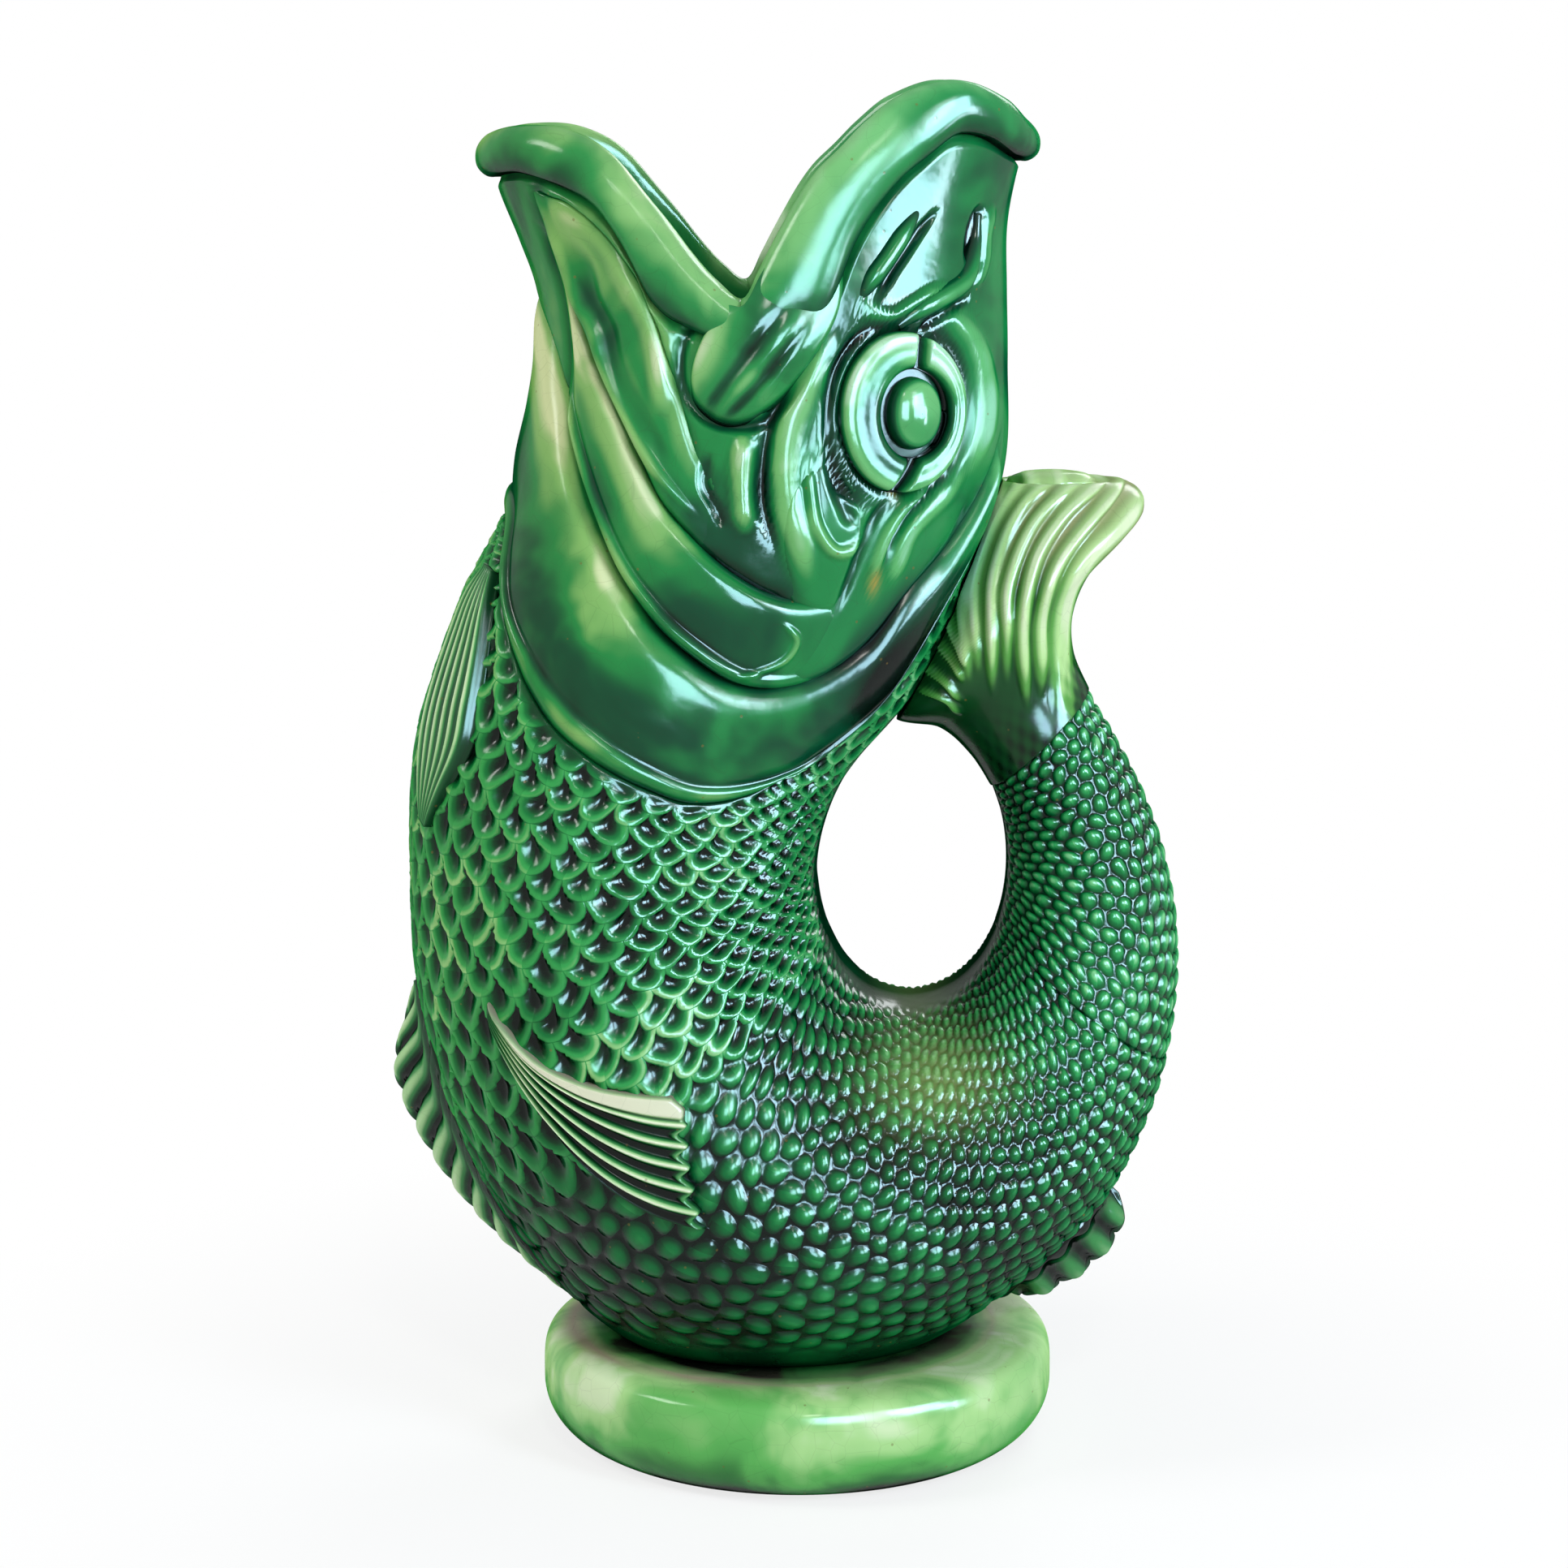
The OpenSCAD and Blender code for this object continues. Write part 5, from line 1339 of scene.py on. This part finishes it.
def make_foot():
    """Rolled foot with a recess underneath."""
    outer_r = foot_d / 2
    inner_r = outer_r - foot_nose - foot_bearing_w
    rows = [[0.0, foot_h]]
    rows += [[r, foot_h] for r in np.linspace(8 * MM, outer_r - foot_nose - 1 * MM, 8)]
    for a in np.linspace(90, -90, 41):
        full = 0.44 if a > 0 else 1
        rows.append([outer_r - foot_nose * (1 - math.cos(math.radians(a)) ** full),
                     foot_h / 2 * (1 + math.copysign(abs(math.sin(math.radians(a))) ** full, a))])
    rows += [[inner_r + 1.2 * MM, 0], [inner_r + 0.4 * MM, 0.4 * MM], [inner_r, 1.4 * MM]]
    rows += [[inner_r, z] for z in (4 * MM, 8 * MM)]
    rows += [[inner_r - 0.4 * MM, foot_recess - 0.6 * MM], [inner_r - 1.4 * MM, foot_recess]]
    rows += [[r, foot_recess] for r in np.linspace(inner_r - 4 * MM, 6 * MM, 5)]
    rows.append([0.0, foot_recess])
    rows = np.array(rows)
    a = np.arange(192) * math.tau / 192
    loops = np.stack([foot_back + rows[1:-1, [0]] * np.cos(a), rows[1:-1, [0]] * np.sin(a),
                      rows[1:-1, [1]] + 0 * a], -1)
    height = rows[1:-1, 1]
    rim = eased(height, 0, 5 * MM) * (0.46 + 0.32 * eased(height, 4 * MM, 15 * MM))
    by_body = np.hypot((loops[..., 0] + 1.2 * MM) / (31 * MM), loops[..., 1] / (28.3 * MM))
    on_top = eased(height, foot_h - 2 * MM, foot_h - 0.4 * MM)[:, None]
    # Painted shade: the foot's top is darkened close to the body, under its overhang, with glaze pooled
    # in the crease.
    crease = 1 - 0.85 * on_top * (1 - eased(by_body, 1.08, 1.3))
    thin = np.where(rows[1:-1, 0] > inner_r + 2 * MM, rim, 0.35)[:, None] * crease
    line = np.exp(-((by_body - 1.26) / 0.07) ** 2)
    piece = ring_piece("rolled_foot", loops, fills={"thin": 0.4}, thin=thin, tan=0.85 * on_top * line)
    return glazed(piece, foot_glaze)


def ready(piece, slot, *nodes):
    """The piece rides with the jug and stands in for its nodes, whose parts it hides; the slot is not
    used.
    """
    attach(piece, "root")
    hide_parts(*nodes)


ready(make_foot(), "foot_glaze", "foot_ring")
ready(make_body(), "body_glaze", "body_shell")
ready(make_tail(), "body_glaze", "tail_handle")
ready(make_head(), "head_glaze", "head_shell")
ready(make_fluke(), "fin_glaze", "tail_fin")
lower = np.concatenate([np.linspace(mouth_corner, 180, 110)[:-1],
                        np.linspace(180, 360 - mouth_corner, 110)])
upper = np.linspace(-mouth_corner, mouth_corner, 240)
ready(make_lip("lower_lip_roll", lower), "head_glaze", "lower_lip")
ready(make_lip("upper_lip_roll", upper), "head_glaze", "upper_lip")
ready(make_comb("belly_fin_comb", 14, 11.4, 11, 19, belly_fin_h, belly_swell, 2.2, 0.9),
      "fin_glaze", "belly_fin")
ready(make_comb("rear_fin_comb", 8.12, 6.95, 4, 26, rear_fin_h, rear_swell, -0.8, 0.62),
      "fin_glaze", "rear_fin")
bands = [
    ("collar_", "gill_collar_", 180, 16, collar_edge, gill_edge, collar_profile, collar_h,
     (0, 6), (210, 56)),
    ("gill_flap_", "gill_cover_", 151, 52, gill_edge, jaw_edge, cover_profile, gill_h,
     (0.08, 34), (170, 64)),
    ("jaw_flap_", "jaw_plate_", 148, 84, jaw_edge, jaw_top, plate_profile, jaw_h,
     (0.1, 44), (120, 60))]
for side in ("left", "right"):
    for name, node, *form in bands:
        ready(make_band(name + side, side, *form), "head_glaze", node + side)
    ready(make_lobe(side), "head_glaze", "lip_lobe_" + side)
    ready(make_cheek(side), "head_glaze", "cheek_" + side)
    ready(make_eye_ring(side), "head_glaze", "eye_ring_" + side)
    ready(make_pupil(side), "head_glaze", "pupil_" + side)
    ready(make_fold("brow_fold_", side, brow_route, 2.1 * MM), "head_glaze", "brow_" + side)
    ready(make_fold("nose_fold_", side, nostril_route, 2.0 * MM), "head_glaze",
          "nostril_fold_" + side)
    ready(make_side_fin(side), "fin_glaze", "side_fin_" + side)
    ready(make_leaf(side), "fin_glaze", "throat_leaf_" + side)


def make_stage():
    """Pale sweep under and behind the jug, white to the camera, keeping its shadow."""
    profile = [[-1.2, 0.0], [1.4, 0.0]]
    profile += [[1.4 + 0.5 * math.sin(a), 0.5 - 0.5 * math.cos(a)]
                for a in np.linspace(0.15, math.pi / 2, 12)]
    profile.append([1.9, 2.2])
    points = np.array([[[x, y, z] for x in (-2.4, 2.4)] for y, z in profile])
    mesh = bpy.data.meshes.new("pale_sweep")
    mesh.from_pydata(points.reshape(-1, 3).tolist(), [],
                     grid_faces(len(profile), 2, False).tolist())
    mesh.shade_smooth()
    sweep = bpy.data.objects.new("pale_sweep", mesh)
    bpy.context.collection.objects.link(sweep)
    material = bpy.data.materials.new("pale paper")
    material.use_nodes = True
    tree = material.node_tree
    tree.nodes.clear()
    paper = add(tree, "ShaderNodeBsdfDiffuse", {"Color": (0.86, 0.86, 0.86, 1)})
    white = add(tree, "ShaderNodeEmission", {"Color": (1, 1, 1, 1), "Strength": 1.0})
    path = add(tree, "ShaderNodeLightPath").outputs
    seen = calc(tree, "MAXIMUM", path["Is Camera Ray"], path["Is Glossy Ray"])
    seen = calc(tree, "MAXIMUM", seen, path["Is Transmission Ray"])
    spot = add(tree, "ShaderNodeTexCoord").outputs["Object"]
    distance = add(tree, "ShaderNodeVectorMath", {0: spot}, operation="LENGTH").outputs["Value"]
    share = ease(tree, distance, 0.06, 0.2, 0.78, 1.0)
    both = add(tree, "ShaderNodeMixShader", {
        0: calc(tree, "MULTIPLY", seen, share), 1: paper.outputs[0], 2: white.outputs[0]})
    add(tree, "ShaderNodeOutputMaterial", {"Surface": both.outputs[0]})
    mesh.materials.append(material)


def make_lamp(name, place_at, target, size, power, colour, lights_all=True):
    """A soft lamp; one that doesn't light all is only mirrored in the glaze."""
    lamp = bpy.data.lights.new(name, "AREA")
    lamp.shape = "RECTANGLE"
    lamp.size, lamp.size_y = size
    lamp.energy = power
    lamp.color = colour
    holder = bpy.data.objects.new(name, lamp)
    bpy.context.collection.objects.link(holder)
    away = Vector(place_at) - Vector(target)
    holder.rotation_euler = away.to_track_quat("Z", "Y").to_euler()
    holder.location = place_at
    holder.visible_diffuse = lights_all


def make_light():
    world = bpy.data.worlds.new("soft room")
    bpy.context.scene.world = world
    world.use_nodes = True
    tree = world.node_tree
    tree.nodes.clear()
    room = add(tree, "ShaderNodeBackground", {"Color": (0.9, 0.95, 1, 1), "Strength": 0.32})
    white = add(tree, "ShaderNodeBackground", {"Color": (1, 1, 1, 1), "Strength": 1.0})
    path = add(tree, "ShaderNodeLightPath").outputs
    seen = calc(tree, "MAXIMUM", path["Is Camera Ray"], path["Is Glossy Ray"])
    seen = calc(tree, "MAXIMUM", seen, path["Is Transmission Ray"])
    both = add(tree, "ShaderNodeMixShader", {0: seen, 1: room.outputs[0], 2: white.outputs[0]})
    add(tree, "ShaderNodeOutputWorld", {"Surface": both.outputs[0]})
    middle = (0, 0, 0.13)
    make_lamp("window", (0.62, -0.62, 0.52), middle, (0.24, 0.4), 6.1, (0.78, 0.9, 1))
    make_lamp("second window", (0.1, -0.75, 0.75), middle, (0.12, 0.12), 1.6, (1, 0.98, 0.94))
    make_lamp("side window", (0.74, -0.5, 0.36), middle, (0.42, 0.46), 38, (0.5, 0.82, 1), False)
    make_lamp("low window", (0.9, -0.3, 0.1), middle, (0.1, 0.4), 8, (0.6, 0.85, 1), False)
    make_lamp("front window", (0.24, -0.75, 0.3), middle, (0.32, 0.36), 19, (0.5, 0.82, 1), False)
    make_lamp("lamp over the belly", (-0.7, -0.2, 0.7), middle, (0.3, 0.2), 3.6, (1, 1, 0.96))
    make_lamp("lamp behind", (0.4, 0.8, 0.6), middle, (0.4, 0.3), 4.5, (0.95, 0.98, 1))


def make_camera():
    camera = bpy.data.cameras.new("camera")
    frame_w = 1932
    focal_length = 4563
    camera.sensor_width = 36
    camera.lens = focal_length / frame_w * 36
    camera.clip_start = 0.01
    holder = bpy.data.objects.new("camera", camera)
    bpy.context.collection.objects.link(holder)
    holder.location = (-0.4 * MM, -670 * MM, 250 * MM)
    holder.rotation_euler = (math.radians(79.23), 0, 0)
    bpy.context.scene.camera = holder


make_stage()
make_light()
make_camera()
bpy.context.scene.view_settings.view_transform = "Standard"
